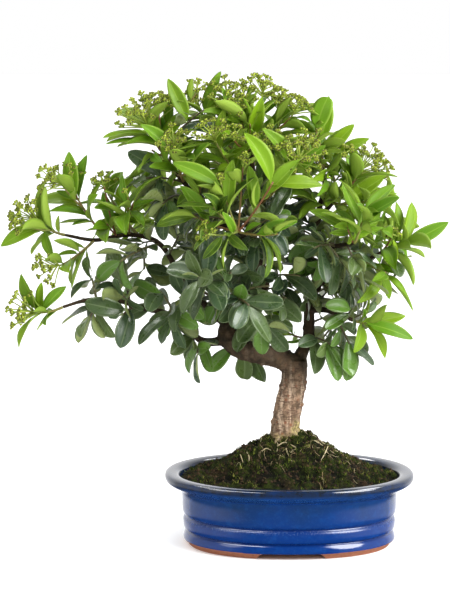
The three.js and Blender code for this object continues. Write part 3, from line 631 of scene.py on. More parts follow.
def keep_leaf(leaf, owner, draw, limit):
    """Finishes a leaf and keeps it if it has enough room"""
    finish_leaf(leaf, draw)
    points, shares = leaf_points(leaf)
    if not in_box(points) or points[:, 2].min() < LOWEST_SPARE:
        return None
    if 1 - free_points(points, shares, owner).mean() > limit:
        return None
    fill_leaf(leaf, points, shares, owner, SPARE_MARGIN)
    return leaf


def spare_leaf(kind, stem, owner, seed, size=SPARE_SIZE):
    """A leaf anywhere on a stem, if there is a place with enough room"""
    for attempt in range(SPARE_TRIES):
        draw = seeded(seed * 64 + attempt)
        leaf = turning_leaf(kind, stem, draw(), 1, GOLDEN_TURN * seed, attempt, draw)
        leaf["length"] *= size * (0.6 + 0.55 * draw())
        roll = SPARE_ROLL * (2 * draw() - 1)
        other = np.cross(leaf["direction"], leaf["normal"])
        leaf["normal"] = leaf["normal"] * math.cos(roll) + other * math.sin(roll)
        if is_airy(leaf_middle(leaf, np.array([0.6]))[0], draw()):
            continue
        kept = keep_leaf(leaf, owner, draw, CROWDED)
        if kept:
            return kept
    return None


def seen_at(pixel, depth):
    """The place that the camera sees at a pixel of the photo, at a depth behind the pot's middle"""
    right = (pixel[0] - PHOTO_WIDTH / 2) / PIXELS_AHEAD
    up = (PHOTO_HEIGHT / 2 - pixel[1]) / PIXELS_AHEAD
    direction = np.array([right, 0, 0]) + up * CAMERA_UP - CAMERA_BACK
    return CAMERA_PLACE + direction * (depth - CAMERA_PLACE[1]) / direction[1]


def sprig(kind, tip, depth, leaves, reach=(), buds=None, lean=0, shoot=None, form=None):
    return {
        "kind": kind, "tip": tip, "depth": depth, "leaves": leaves, "reach": reach, "buds": buds,
        "lean": lean, "shoot": shoot, "form": form or kind, "grown": [],
    }


# Sprigs: stems with leaves and buds, placed where the photo shows them. Each has its tip and the places that
# its outermost leaves reach as pixels, its depth behind the pot's middle, and the length and half width of
# its buds. Some have buds that lean to the right, or left where it is below 0, grow from the shoot of a
# number, or have leaves of another form.
SPRIGS = [
    sprig("young", (228, 98), 2, 4, [], (22, 15)),
    sprig("young", (262, 98), -6, 5, [(251, 84)], (23, 17)),
    sprig("young", (250, 124), -40, 5, [(243, 98), (262, 97), (275, 101)]),
    sprig("young", (240, 114), -26, 4, [], (17, 13)),
    sprig("young", (234, 140), -60, 4, [(219, 134)], (18, 12)),
    sprig("young", (243, 166), -78, 4, [], (13, 9)),
    sprig("young", (292, 116), -8, 4, [(300, 105)], (22, 14)),
    sprig("young", (316, 126), 0, 4, [(354, 125)]),
    sprig("young", (341, 158), -10, 4, [(369, 139)], (15, 11)),
    sprig("young", (270, 146), -52, 4, [], (18, 14)),
    sprig("young", (312, 146), -42, 4, [(322, 160)], (18, 12)),
    sprig("young", (273, 182), -86, 4, [(244, 133), (249, 166), (300, 160), (323, 186)]),
    sprig("young", (352, 200), -24, 4, [(385, 176), (397, 194), (345, 180)]),
    sprig("young", (221, 183), -82, 4, [(173, 163), (233, 160)], (11, 8)),
    sprig("young", (196, 166), -66, 4, [(172, 150), (211, 144)]),
    sprig("old", (204, 110), -30, 3, [(221, 133)]),
    sprig("old", (146, 178), -22, 4, [(128, 152)]),
    sprig("young", (209, 234), -96, 5, [(222, 212)], (12, 9)),
    sprig("young", (278, 234), -90, 4, [(297, 222), (262, 224)]),
    sprig("young", (188, 212), -62, 4, [(180, 186)]),
    sprig("young", (287, 332), 40, 3, [(280, 341), (295, 346)]),
    sprig("old", (330, 344), -24, 4, [(338, 381), (353, 376), (314, 374)]),
    sprig("old", (192, 340), -16, 2, [(188, 362)]),
    sprig("old", (208, 346), -14, 2, [(210, 371)]),
    sprig("young", (392, 236), -10, 3, [(396, 262)], (9, 6)),
    sprig("young", (366, 226), -30, 4, [(381, 210), (349, 212)]),
    sprig("young", (160, 136), -14, 5, [(153, 108), (186, 108)]),
    sprig("young", (182, 112), -6, 5, [(171, 88)]),
    sprig("old", (286, 298), -34, 4, [(272, 318), (301, 322)]),
    sprig("old", (300, 276), -40, 4, [(316, 300)]),
    sprig("old", (270, 286), -44, 4, [(262, 312), (284, 308)]),
    sprig("young", (214, 110), -12, 5, [(222, 88)]),
    sprig("young", (63, 186), -4, 1, [(69, 152)], (28, 14), -1.6, 8),
    sprig("young", (32, 228), -10, 0, [], (26, 12), -1.6, 6),
    sprig("young", (104, 186), -8, 1, [(103, 192)], (15, 7), -0.4),
    sprig("young", (196, 92), -2, 2, [], (15, 8)),
    sprig("old", (252, 352), 14, 1, [(244, 379), (264, 382)]),
    sprig("young", (152, 150), -28, 3, [(136, 170)]),
    sprig("young", (128, 196), -30, 3, [(96, 201)], (12, 6), -0.6),
    sprig("young", (159, 114), -12, 0, [], (21, 13)),
    sprig("young", (197, 112), -20, 1, [(168, 79)]),
    sprig("young", (372, 174), 4, 0, [], (21, 12), 0.7),
    sprig("old", (296, 198), 12, 4, [(284, 214), (306, 214)]),
    sprig("old", (302, 230), 22, 4, [(292, 242)]),
    sprig("old", (306, 262), 18, 3, [(295, 276), (318, 280)]),
    sprig("old", (332, 316), 22, 3, [(322, 332)]),
    sprig("young", (150, 110), -4, 0, [], (20, 12), 0.3),
    sprig("young", (316, 129), -12, 0, [(328, 97)], form="oval"),
    sprig("old", (287, 216), 34, 4, [(276, 206), (300, 208)]),
    sprig("old", (292, 252), 38, 4, [(282, 262), (304, 250)]),
]

SPRIG_OWNER = 100
SPRIG_RADII = [(0, 1.2), (1, 0.8)]
SPRIG_DEPTHS = 16  # how far the tips of a sprig's leaves may differ in depth
SPRIG_SIZE = 0.85
BRIGHT_LEAVES = 2  # how many leaves of a young sprig are as bright as they can be
LIMB_STEPS = 60
LIMB_POINTS = [
    curves[name].point(step / LIMB_STEPS)
    for name in LIMBS if name != "trunk" for step in range(LIMB_STEPS // 5, LIMB_STEPS + 1)
]


def limb_under(tip):
    """The limb point that a stem to a tip best grows from: near, and under it"""
    def cost(point):
        return math.dist(point, tip) + 1.5 * max(0.0, point[2] + 6 - tip[2])
    return min(LIMB_POINTS, key=cost)


def grow_sprig(plan, number):
    owner = SPRIG_OWNER + number
    kind = LEAF_KINDS[plan["form"]]
    tip = seen_at(plan["tip"], plan["depth"])
    start = SHOOTS[plan["shoot"] - 1]["stems"][0].point(0.7) if plan["shoot"] else limb_under(tip)
    stem = stem_curve(start, tip, plan["kind"])
    plan["stem"] = stem
    fill_tube(stem, SPRIG_RADII, SPARE_MARGIN, owner)
    if plan["buds"]:
        axis = unit(stem.tangent(1.0) + np.array([plan["lean"], 0, 0.6]))
        length, half_width = plan["buds"]
        plan["cluster"] = {"base": tip, "axis": axis, "stalks": []}
        fill_ball(tip + axis * length * 0.7, half_width * 0.7, owner + 0.5)
    for index, pixel in enumerate(plan["reach"]):
        draw = seeded(SEEDS["reach"] + 64 * owner + index)
        target = seen_at(pixel, plan["depth"] + SPRIG_DEPTHS * draw() - SPRIG_DEPTHS / 2)
        leaf = keep_leaf(reaching_leaf(kind, stem, target, 0, draw), owner, draw, CROWDED_REACH)
        if leaf:
            leaf["bright"] = index < BRIGHT_LEAVES and plan["kind"] == "young"
            plan["grown"].append(leaf)
    spares = [
        spare_leaf(kind, stem, owner, SEEDS["sprig"] + 64 * owner + index, SPRIG_SIZE)
        for index in range(plan["leaves"])
    ]
    plan["grown"] += [leaf for leaf in spares if leaf]


# Twigs of a limb: from and to as shares of its length, how many, and how long
TWIGS = {
    "leader": (0.45, 1, 26, 32),
    "right": (0.3, 1, 16, 28),
    "low_left": (0.15, 0.95, 6, 14),
    "mid_left": (0.2, 0.95, 8, 18),
    "top_left": (0.3, 1, 10, 24),
    "right_mid": (0.2, 1, 6, 22),
    "right_low": (0.2, 1, 5, 20),
    "right_top": (0.2, 1, 5, 20),
    "back_left": (0.2, 1, 8, 26),
    "back_mid": (0.2, 1, 8, 26),
    "back_right": (0.2, 1, 7, 26),
    "back_low": (0.3, 1, 6, 24),
    "front_left": (0.3, 1, 5, 20),
    "front_mid": (0.2, 1, 7, 24),
    "front_right": (0.2, 1, 6, 24),
}
TWIG_RADII = [(0, 1.0), (1, 0.7)]
TWIG_MARGIN = 0.8
TWIG_LEAVES = 8
TWIG_OWNER = 200
TWIGS_A_LIMB = 30
YOUNG_HEIGHT = 318  # over this height twigs are young, and lower down also far out
# Heart of the crown, where leaves are older and get painted shade: its radius, the width of its edge, and how
# much flatter it is in height
HEART_RADIUS = 62
HEART_EDGE = 35
HEART_FLAT = 1.1


def freshness_and_light(point):
    """0 in the heart of the crown, where leaves are older and darker, the darkness being partly painted
    shade, to 1 all round it
    """
    out = math.hypot(point[0] - CROWN_MIDDLE[0], HEART_FLAT * (point[2] - CROWN_MIDDLE[2]))
    return min(max((out - HEART_RADIUS) / HEART_EDGE, 0), 1)


def is_young(tip):
    out = tip - CROWN_MIDDLE
    return tip[2] > YOUNG_HEIGHT - 0.25 * math.hypot(out[0], out[1]) and freshness_and_light(tip) > 0.5


def grow_twigs(limb, first, last, count, length, number):
    """Short leafy twigs that leave a limb at the golden turn"""
    grown = []
    curve = curves[limb]
    for index in range(count):
        draw = seeded(SEEDS["twig"] + 1000 * number + index)
        place = min(first + (last - first) * (index + 0.3 + 0.4 * draw()) / count, 1.0)
        start = curve.point(place)
        side, other = across(curve.tangent(place))
        turn = GOLDEN_TURN * index + number
        direction = curve.tangent(place) * 0.5 + side * math.cos(turn) + other * math.sin(turn) + UP * 0.3
        tip = start + unit(direction) * length * (0.7 + 0.6 * draw())
        kind = "young" if is_young(tip) else "old"
        stem = stem_curve(start, tip, kind)
        probe = np.array([stem.point(share) for share in (0.45, 0.6, 0.8, 1.0)])
        if np.any(room[cells(probe)] != 0) or not in_box(probe):
            continue
        owner = TWIG_OWNER + TWIGS_A_LIMB * number + index
        fill_tube(stem, TWIG_RADII, TWIG_MARGIN, owner)
        seed = SEEDS["twig leaf"] + owner * 16
        leaves = [spare_leaf(LEAF_KINDS[kind], stem, owner, seed + leaf) for leaf in range(TWIG_LEAVES)]
        grown.append({"kind": kind, "stem": stem, "grown": [leaf for leaf in leaves if leaf]})
    return grown


def grow_spares(shoot):
    """More leaves on the stems of a shoot"""
    kind, stems = LEAF_KINDS[shoot["kind"]], shoot["stems"]
    seed = SEEDS["spare"] + shoot["number"] * 32
    leaves = [
        spare_leaf(kind, stems[index % len(stems)], shoot["number"], seed + index)
        for index in range(SPARE_COUNT * len(stems))
    ]
    shoot["spare"] = [leaf for leaf in leaves if leaf]


for number, plan in enumerate(SPRIGS):
    grow_sprig(plan, number)
for shoot in SHOOTS:
    grow_spares(shoot)
twigs = {limb: grow_twigs(limb, *TWIGS[limb], number) for number, limb in enumerate(TWIGS)}

# Meshes


class Shape:
    """Points and faces of one piece, and what its materials read at each point"""

    def __init__(self):
        self.points, self.uvs, self.tones = [], [], []
        self.faces, self.kinds = [], []
        self.count = 0

    def add(self, points, faces, material=0, uv=None, tone=(0, 0, 0)):
        points = np.asarray(points, float)
        number = len(points)
        self.points.append(points)
        self.uvs.append(np.zeros((number, 2)) if uv is None else np.asarray(uv, float))
        self.tones.append(np.broadcast_to(np.asarray(tone, float), (number, 3)))
        for group in faces:
            group = np.asarray(group) + self.count
            self.faces.extend(group.tolist())
            self.kinds.extend([material] * len(group))
        self.count += number


def link(name, data):
    """Makes an object of data and puts it into the scene"""
    thing = bpy.data.objects.new(name, data)
    bpy.context.scene.collection.objects.link(thing)
    return thing


def make(name, shape, materials, slot, node=None, flat=False):
    """Makes a piece of a shape, which stands for a node of the solids if one is given"""
    mesh = bpy.data.meshes.new(name)
    points = np.concatenate(shape.points) * MM + MIDDLE
    mesh.from_pydata(points.tolist(), [], shape.faces)
    for material in materials:
        mesh.materials.append(material)
    mesh.polygons.foreach_set("material_index", shape.kinds)
    mesh.polygons.foreach_set("use_smooth", [not flat] * len(mesh.polygons))
    tones = np.ones((shape.count, 4))
    tones[:, :3] = np.concatenate(shape.tones)
    mesh.color_attributes.new("tone", "FLOAT_COLOR", "POINT").data.foreach_set("color", tones.ravel())
    corners = np.zeros(len(mesh.loops), int)
    mesh.loops.foreach_get("vertex_index", corners)
    uvs = np.concatenate(shape.uvs)[corners]
    mesh.uv_layers.new(name="place").data.foreach_set("uv", uvs.ravel())
    mesh.update()
    piece = link(name, mesh)
    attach(piece, "root")
    if node:
        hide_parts(node)
    return piece


def ring_faces(rows, columns, first, last, start=0):
    """Faces of a row of rings, whose points begin at start, closed by the points first and last"""
    ring = start + np.arange(columns)
    after = start + (np.arange(columns) + 1) % columns
    quad = np.stack([ring, after, after + columns, ring + columns], 1)
    end = (rows - 1) * columns
    low = np.stack([np.full(columns, first), after, ring], 1)
    high = np.stack([np.full(columns, last), end + ring, end + after], 1)
    return [np.concatenate([quad + row * columns for row in range(rows - 1)]), low, high]


def add_tube(shape, curve, radii, sides, steps, material=0, tone=(0, 0, 0)):
    """A closed tube along a curve"""
    places = np.linspace(0, 1, steps + 1)
    middles = np.array([curve.point(float(place)) for place in places])
    normal = across(curve.tangent(0.0))[0]
    turns = np.arange(sides) * 2 * math.pi / sides
    rings = []
    for index, place in enumerate(places):
        ahead = curve.tangent(float(place))
        normal = unit(normal - ahead * (normal @ ahead))
        other = np.cross(ahead, normal)
        radius = along(radii, float(place))
        rim = np.cos(turns)[:, None] * normal + np.sin(turns)[:, None] * other
        rings.append(middles[index] + radius * rim)
    points = np.concatenate(rings + [middles[:1], middles[-1:]])
    faces = ring_faces(steps + 1, sides, len(points) - 2, len(points) - 1)
    shape.add(points, faces, material, None, tone)


# Leaf blades: rows along the leaf, and columns across it from edge to edge
LEAF_ROWS = 15
LEAF_COLUMNS = 7
PETIOLE = 0.06  # share of the length that is the leaf's own stalk
STALK_HALF = 0.105  # half its width, as a share of the leaf's
BLADE_HALF = 0.16  # half the thickness of a blade


def leaf_faces():
    """Faces of a closed leaf: its top and bottom share their rim, and all rows end in one tip"""
    rows, columns = LEAF_ROWS, LEAF_COLUMNS
    top = np.arange(rows * columns).reshape(rows, columns)
    bottom = top.copy()
    inner = (rows - 1) * (columns - 2)
    bottom[1:, 1:-1] = rows * columns + np.arange(inner).reshape(rows - 1, columns - 2)
    tip = rows * columns + inner
    quads, ends = [], []
    for grid, turn in ((top, 1), (bottom, -1)):
        quad = np.stack([grid[:-1, :-1], grid[:-1, 1:], grid[1:, 1:], grid[1:, :-1]], -1).reshape(-1, 4)
        end = np.stack([grid[-1, :-1], grid[-1, 1:], np.full(columns - 1, tip)], -1)
        quads.append(quad[:, ::turn])
        ends.append(end[:, ::turn])
    return tip, [np.concatenate(quads), np.concatenate(ends)]


LEAF_TIP, LEAF_FACES = leaf_faces()
ROW_PLACES = np.linspace(0, 1, LEAF_ROWS + 1)[:-1]
ROW_SHARES = 0.45 * ROW_PLACES + 0.55 * (0.5 - 0.5 * np.cos(math.pi * ROW_PLACES))
COLUMN_PLACES = np.linspace(-1, 1, LEAF_COLUMNS)
LIVELY = 1.35  # tone of an old leaf that is bright


def leaf_uvs():
    """Across and along a leaf, for the points of its top, its underside and its tip"""
    grid = np.stack(np.broadcast_arrays(0.5 + 0.5 * COLUMN_PLACES, ROW_SHARES[:, None]), -1)
    return np.concatenate([grid.reshape(-1, 2), grid[1:, 1:-1].reshape(-1, 2), [[0.5, 1.0]]])


LEAF_UVS = leaf_uvs()


def blade_widths(kind, shares):
    """Half width of a leaf along it, as a share of the widest"""
    widest, blunt = kind["widest"], kind["blunt"]
    rise = blunt * widest / (1 - widest)
    blade = (shares / widest) ** rise * ((1 - shares) / (1 - widest)) ** blunt
    opening = np.clip((shares - PETIOLE) / 0.13, 0, 1)
    return STALK_HALF + (blade - STALK_HALF) * opening * opening * (3 - 2 * opening)


def blade_points(leaf, draw):
    """Points of a blade, with its folds, waves, twist and midrib"""
    kind = leaf["kind"]
    shares = ROW_SHARES
    half = leaf["half"] * kind["broad"] * blade_widths(kind, shares)
    fold = kind["fold"] + 0.42 * draw()
    wave = leaf["half"] * (0.02 + 0.1 * draw())
    phase = 6.28 * draw()
    twist, roll = 1.2 * (draw() - 0.5), 0.6 * (draw() - 0.5)
    bow = np.sin(math.pi * shares)[:, None] * leaf["length"]
    sway, hump = 0.1 * (draw() - 0.5), 0.09 * (draw() - 0.3)
    middles = leaf_middle(leaf, shares * leaf["trim"]) + bow * (sway * leaf["side"] + hump * leaf["normal"])
    normals = leaf_normal(leaf, shares * leaf["trim"])
    turn = (roll + twist * shares)[:, None]
    sides = leaf["side"] * np.cos(turn) + normals * np.sin(turn)
    rises = normals * np.cos(turn) - leaf["side"] * np.sin(turn)
    reach = np.abs(COLUMN_PLACES)
    waves = wave * reach * np.sin(9 * shares + phase)[:, None] * np.sign(COLUMN_PLACES)
    lift = fold * half[:, None] * reach**1.6 + waves
    stalk = np.clip(1 - shares / (PETIOLE + 0.1), 0, 1)[:, None]
    thick = (BLADE_HALF + 0.3 * stalk) * (1 - reach**4)
    rib = 0.35 * np.clip(1 - reach / 0.34, 0, 1) * (1 - shares)[:, None]
    place = middles[:, None] + sides[:, None] * (half[:, None] * COLUMN_PLACES)[..., None]
    upper = place + rises[:, None] * (lift + thick - 0.2 * rib)[..., None]
    lower = place + rises[:, None] * (lift - thick - rib)[..., None]
    tip = leaf_middle(leaf, np.array([leaf["trim"]]))
    return np.concatenate([upper.reshape(-1, 3), lower[1:, 1:-1].reshape(-1, 3), tip])


def leaf_tone(leaf, draw):
    """How light a leaf is, and its share of the other colour. Nearer the heart of the crown leaves are
    darker, as older leaves and as painted shade; the bright ones of young sprigs are kept out of that shade.
    A few old leaves are as light as young ones.
    """
    # Painted shade: the tone falls towards the heart of the crown
    fresh_and_lit = 1 if leaf["bright"] else freshness_and_light(leaf_middle(leaf, np.array([0.5]))[0])
    chance, other = draw(), draw()
    if leaf["kind"] is not LEAF_KINDS["old"]:
        return fresh_and_lit * (0.45 + 0.55 * chance), other * fresh_and_lit
    if chance > 0.92 - 0.2 * fresh_and_lit:
        return LIVELY, 0
    return min((0.5 + 0.2 * fresh_and_lit) * chance + 0.32 * fresh_and_lit, 1), other


def add_leaf(shape, leaf, material, draw):
    points = blade_points(leaf, draw)
    tone = np.zeros((len(points), 3))
    tone[:, 0], tone[:, 2] = leaf_tone(leaf, draw)
    tone[LEAF_ROWS * LEAF_COLUMNS:LEAF_TIP, 1] = 1
    shape.add(points, LEAF_FACES, material, LEAF_UVS, tone)


# Materials


class Nodes:
    """The nodes of a material or the world, with short names for those that are used most"""

    def __init__(self, tree):
        self.tree = tree

    def add(self, kind, inputs=None, **settings):
        node = self.tree.nodes.new(kind)
        for key, value in settings.items():
            setattr(node, key, value)
        for key, value in (inputs or {}).items():
            if isinstance(value, bpy.types.NodeSocket):
                self.tree.links.new(value, node.inputs[key])
            elif isinstance(value, tuple) and len(value) == 3 and node.inputs[key].type == "RGBA":
                node.inputs[key].default_value = (*value, 1)
            else:
                node.inputs[key].default_value = value
        return node.outputs

    def math(self, operation, first, second=0.0):
        return self.add("ShaderNodeMath", {0: first, 1: second}, operation=operation)[0]

    def times(self, first, second):
        return self.math("MULTIPLY", first, second)

    def plus(self, first, second):
        return self.math("ADD", first, second)

    def most(self, first, second):
        return self.math("MAXIMUM", first, second)

    def ramp(self, value, low, high, start=0.0, end=1.0):
        """value taken from low..high to start..end, and held there past its ends"""
        inputs = {"Value": value, "From Min": low, "From Max": high, "To Min": start, "To Max": end}
        return self.add("ShaderNodeMapRange", inputs)["Result"]


class Shader(Nodes):
    """A material, with colours as red, green and blue"""

    def __init__(self, name, color=(0.5, 0.5, 0.5), roughness=0.5, **sockets):
        self.material = bpy.data.materials.new(name)
        self.material.use_nodes = True
        super().__init__(self.material.node_tree)
        self.surface = self.tree.nodes["Principled BSDF"]
        self.surface.inputs["Base Color"].default_value = (*color, 1)
        self.surface.inputs["Roughness"].default_value = roughness
        for socket, value in sockets.items():
            self.surface.inputs[socket.replace("_", " ")].default_value = value
        self.where = self.add("ShaderNodeTexCoord")["Object"]

    def noise(self, size, detail=4, roughness=0.55, vector=None):
        """Noise from 0 to 1 whose lumps have a size in millimetres"""
        inputs = {"Scale": 1 / (size * MM), "Detail": detail, "Roughness": roughness}
        return self.add("ShaderNodeTexNoise", inputs | {"Vector": vector or self.where})["Fac"]

    def scaled(self, *scale):
        """Where a point is, scaled along x, y and z, which draws out noise"""
        return self.add("ShaderNodeMapping", {"Vector": self.where, "Scale": scale})[0]

    def mix(self, factor, first, second):
        return self.add("ShaderNodeMix", {0: factor, 6: first, 7: second}, data_type="RGBA")[2]

    def tone(self):
        """The three values that a mesh keeps at its points"""
        attribute = self.add("ShaderNodeAttribute", attribute_name="tone")["Color"]
        return self.add("ShaderNodeSeparateColor", {0: attribute})

    def set(self, socket, value):
        self.tree.links.new(value, self.surface.inputs[socket])

    def bump(self, height, distance, strength=1.0):
        inputs = {"Height": height, "Distance": distance * MM, "Strength": strength}
        self.set("Normal", self.add("ShaderNodeBump", inputs)[0])


def leaf_material(name, dark, light, other, below, rib, roughness, shine, glow):
    """A leaf: its colour varies and is darker in the heart of the crown, partly as painted shade; its
    underside and midrib are paler, and light comes through it
    """
    shader = Shader(name, roughness=roughness, Specular_IOR_Level=shine)
    chance, under, second = shader.tone()[:3]
    # The first tone mixes the dark and light colours: chance, and painted shade in the heart of the crown
    color = shader.mix(chance, dark, light)
    color = shader.mix(shader.ramp(chance, 1.0, LIVELY), color, (0.09, 0.205, 0.02))
    color = shader.mix(shader.times(shader.ramp(shader.noise(9), 0.35, 0.7), 0.3), color, light)
    color = shader.mix(shader.times(second, 0.7), color, other)
    place = shader.add("ShaderNodeUVMap", uv_map="place")[0]
    across_leaf, along_leaf = shader.add("ShaderNodeSeparateXYZ", {0: place})[:2]
    off_middle = shader.math("ABSOLUTE", shader.math("SUBTRACT", across_leaf, 0.5))
    slant = shader.math("SUBTRACT", along_leaf, shader.times(off_middle, 0.5))
    veins = shader.ramp(shader.math("PINGPONG", shader.times(slant, 11), 0.5), 0.0, 0.1, 1.0, 0.0)
    middle = shader.ramp(off_middle, 0.015, 0.05, 1.0, 0.0)
    lines = shader.most(middle, shader.times(veins, 0.25))
    color = shader.mix(under, color, below)
    edges = shader.most(shader.times(lines, 0.65), shader.ramp(off_middle, 0.39, 0.46))
    color = shader.mix(shader.times(edges, 0.6), color, rib)
    shader.set("Base Color", color)
    shader.set("Roughness", shader.ramp(shader.noise(6), 0.3, 0.7, roughness - 0.07, roughness + 0.1))
    shader.bump(shader.times(lines, -1.0), 0.12)
    through = shader.add("ShaderNodeBsdfTranslucent", {"Color": color})[0]
    both = shader.add("ShaderNodeMixShader", {0: glow, 1: shader.surface.outputs[0], 2: through})[0]
    shader.tree.links.new(both, shader.tree.nodes["Material Output"].inputs["Surface"])
    return shader.material


def stem_material(name, low, high):
    shader = Shader(name, roughness=0.5)
    chance = shader.tone()[0]
    color = shader.mix(chance, low, high)
    patches = shader.ramp(shader.noise(3), 0.4, 0.65)
    shader.set("Base Color", shader.mix(shader.times(patches, 0.4), color, low))
    shader.bump(shader.noise(1.2), 0.15)
    return shader.material


def bud_material():
    """Round flower buds: yellow green, with olive brown tips"""
    shader = Shader("bud", roughness=0.6, Specular_IOR_Level=0.2)
    tip, chance = shader.tone()[:2]
    color = shader.mix(chance, (0.25, 0.33, 0.027), (0.44, 0.52, 0.065))
    shader.set("Base Color", shader.mix(shader.ramp(tip, 0.56, 0.86), color, (0.075, 0.08, 0.015)))
    shader.bump(shader.noise(0.8), 0.1)
    return shader.material


def bark_material():
    """Bark: pinkish tan low on the trunk, darker brown on the limbs, greenish at the foot of the trunk"""
    shader = Shader("bark", roughness=0.85, Specular_IOR_Level=0.3)
    dark_share, moss_share = shader.tone()[:2]
    fibres = shader.noise(2.6, 6, 0.65, shader.scaled(1, 1, 0.4))
    patches = shader.noise(7, 4, 0.6)
    streaks = shader.noise(5, 3, 0.5, shader.scaled(1, 1, 0.15))
    flecks = shader.noise(3.2, 4, 0.6, shader.scaled(0.6, 0.6, 3))
    light = shader.mix(shader.ramp(patches, 0.4, 0.62), (0.31, 0.2, 0.125), (0.13, 0.085, 0.05))
    light = shader.mix(shader.ramp(streaks, 0.52, 0.62, 0, 0.85), light, (0.54, 0.4, 0.28))
    light = shader.mix(shader.ramp(flecks, 0.52, 0.58, 0, 0.8), light, (0.085, 0.042, 0.028))
    dark = shader.mix(shader.ramp(patches, 0.35, 0.65), (0.048, 0.029, 0.012), (0.02, 0.014, 0.007))
    color = shader.mix(dark_share, light, dark)
    cracks = shader.ramp(fibres, 0.38, 0.5, 1.0, 0.0)
    color = shader.mix(shader.times(cracks, 0.6), color, (0.05, 0.032, 0.02))
    spots = shader.add("ShaderNodeTexVoronoi", {"Vector": shader.where, "Scale": 1 / (6.5 * MM)})["Distance"]
    scars = shader.times(shader.ramp(spots, 0.16, 0.26, 1.0, 0.0), shader.math("SUBTRACT", 1.0, dark_share))
    color = shader.mix(shader.times(scars, 0.8), color, (0.2, 0.07, 0.035))
    moss = shader.times(moss_share, shader.ramp(shader.noise(3, 4), 0.4, 0.6, 0.25, 1.0))
    green = shader.mix(shader.ramp(shader.noise(2), 0.42, 0.6), (0.12, 0.11, 0.025), (0.52, 0.42, 0.17))
    shader.set("Base Color", shader.mix(moss, color, green))
    shader.bump(shader.plus(shader.times(fibres, 0.8), shader.times(patches, 0.5)), 1.4, 0.9)
    return shader.material


def glaze_material():
    """Cobalt glaze: mottled; darker in the grooves, as pooled glaze and painted shade, and under the lip, as
    painted shade; brownish where it is thin on the lip's edges
    """
    shader = Shader("glaze", roughness=0.1, Coat_Weight=0.25, Coat_Roughness=0.06)
    cloud = shader.noise(34, 3)
    fine = shader.noise(2.2, 5)
    drops = shader.noise(7, 3, 0.6)
    pooled_glaze_and_shade, edge, low = shader.tone()[:3]
    body = shader.mix(shader.ramp(cloud, 0.35, 0.65), (0.004, 0.03, 0.135), (0.006, 0.028, 0.095))
    color = shader.mix(low, body, (0.001, 0.025, 0.15))
    color = shader.mix(shader.times(shader.ramp(drops, 0.5, 0.7), 0.3), color, (0.006, 0.06, 0.24))
    color = shader.mix(shader.times(shader.ramp(fine, 0.52, 0.75), 0.25), color, (0.02, 0.07, 0.2))
    # Pooled glaze and painted shade in the grooves, painted shade under the lip
    color = shader.mix(shader.times(pooled_glaze_and_shade, 0.8), color, (0.001, 0.012, 0.09))
    thin = shader.times(edge, shader.ramp(shader.noise(6, 4), 0.35, 0.6, 0.6, 1.0))
    shader.set("Base Color", shader.mix(thin, color, (0.008, 0.013, 0.026)))
    height = shader.add("ShaderNodeSeparateXYZ", {0: shader.where})[2]
    off = shader.math("ABSOLUTE", shader.math("SUBTRACT", height, SHOULDER * MM))
    matt = shader.ramp(off, 1.5 * MM, 3 * MM, 0.15, 0.0)
    shader.set("Roughness", shader.plus(shader.ramp(fine, 0.3, 0.7, 0.06, 0.16), matt))
    shader.bump(shader.plus(fine, drops), 0.1, 0.3)
    return shader.material


def foot_material():
    shader = Shader("bare_clay", roughness=0.9)
    grain = shader.noise(1.5, 5)
    color = shader.mix(shader.ramp(grain, 0.3, 0.7), (0.27, 0.09, 0.045), (0.37, 0.15, 0.08))
    shader.set("Base Color", color)
    shader.bump(grain, 0.3)
    return shader.material


def soil_material():
    """Damp peat and moss in patches, with painted shade, near black, in the hollows between the lumps"""
    shader = Shader("soil", roughness=0.95, Specular_IOR_Level=0.15)
    grain = shader.noise(1.8, 6, 0.7)
    crumbs = shader.ramp(grain, 0.38, 0.62)
    peat = shader.mix(crumbs, (0.003, 0.002, 0.001), (0.045, 0.026, 0.012))
    green = shader.mix(crumbs, (0.002, 0.004, 0.001), (0.035, 0.048, 0.005))
    color = shader.mix(shader.ramp(shader.noise(20, 4), 0.38, 0.52), peat, green)
    # Painted shade: near black where the relief is low
    painted_hollow_shade = shader.ramp(shader.tone()[0], 0.25, 0.7, 0.95, 0.0)
    shader.set("Base Color", shader.mix(painted_hollow_shade, color, (0.002, 0.002, 0.001)))
    shader.bump(grain, 1.2)
    return shader.material


def tinted_material(name, low, high):
    shader = Shader(name, roughness=0.9, Specular_IOR_Level=0.2)
    shader.set("Base Color", shader.mix(shader.tone()[0], low, high))
    shader.bump(shader.noise(1.0), 0.2)
    return shader.material


def mesh_material():
    shader = Shader("drain_mesh", color=(0.02, 0.02, 0.02), roughness=0.55)
    shader.bump(shader.noise(0.8), 0.05)
    return shader.material


OLD_LEAF = leaf_material("old_leaf", (0.02, 0.047, 0.015), (0.13, 0.195, 0.04), (0.026, 0.062, 0.038),
                         (0.27, 0.33, 0.11), (0.24, 0.31, 0.15), 0.3, 0.65, 0.14)
YOUNG_LEAF = leaf_material("young_leaf", (0.045, 0.1, 0.012), (0.27, 0.44, 0.01), (0.085, 0.25, 0.012),
                           (0.31, 0.45, 0.06), (0.36, 0.52, 0.07), 0.42, 0.25, 0.26)
OLD_STEM = stem_material("old_stem", (0.07, 0.05, 0.03), (0.14, 0.13, 0.05))
YOUNG_STEM = stem_material("young_stem", (0.2, 0.075, 0.03), (0.22, 0.3, 0.05))
BUD = bud_material()
BUD_STALK = stem_material("bud_stalk", (0.34, 0.4, 0.055), (0.25, 0.38, 0.04))
BARK = bark_material()

# Pieces: leafy shoots
LOOKS = {"old": ([OLD_STEM, OLD_LEAF], "old_leaf"), "young": ([YOUNG_STEM, YOUNG_LEAF], "young_leaf")}
STEM_SIDES = 6
STEM_STEPS = 10
SHOOT_RADII = [(0, 1.5), (1, 0.9)]


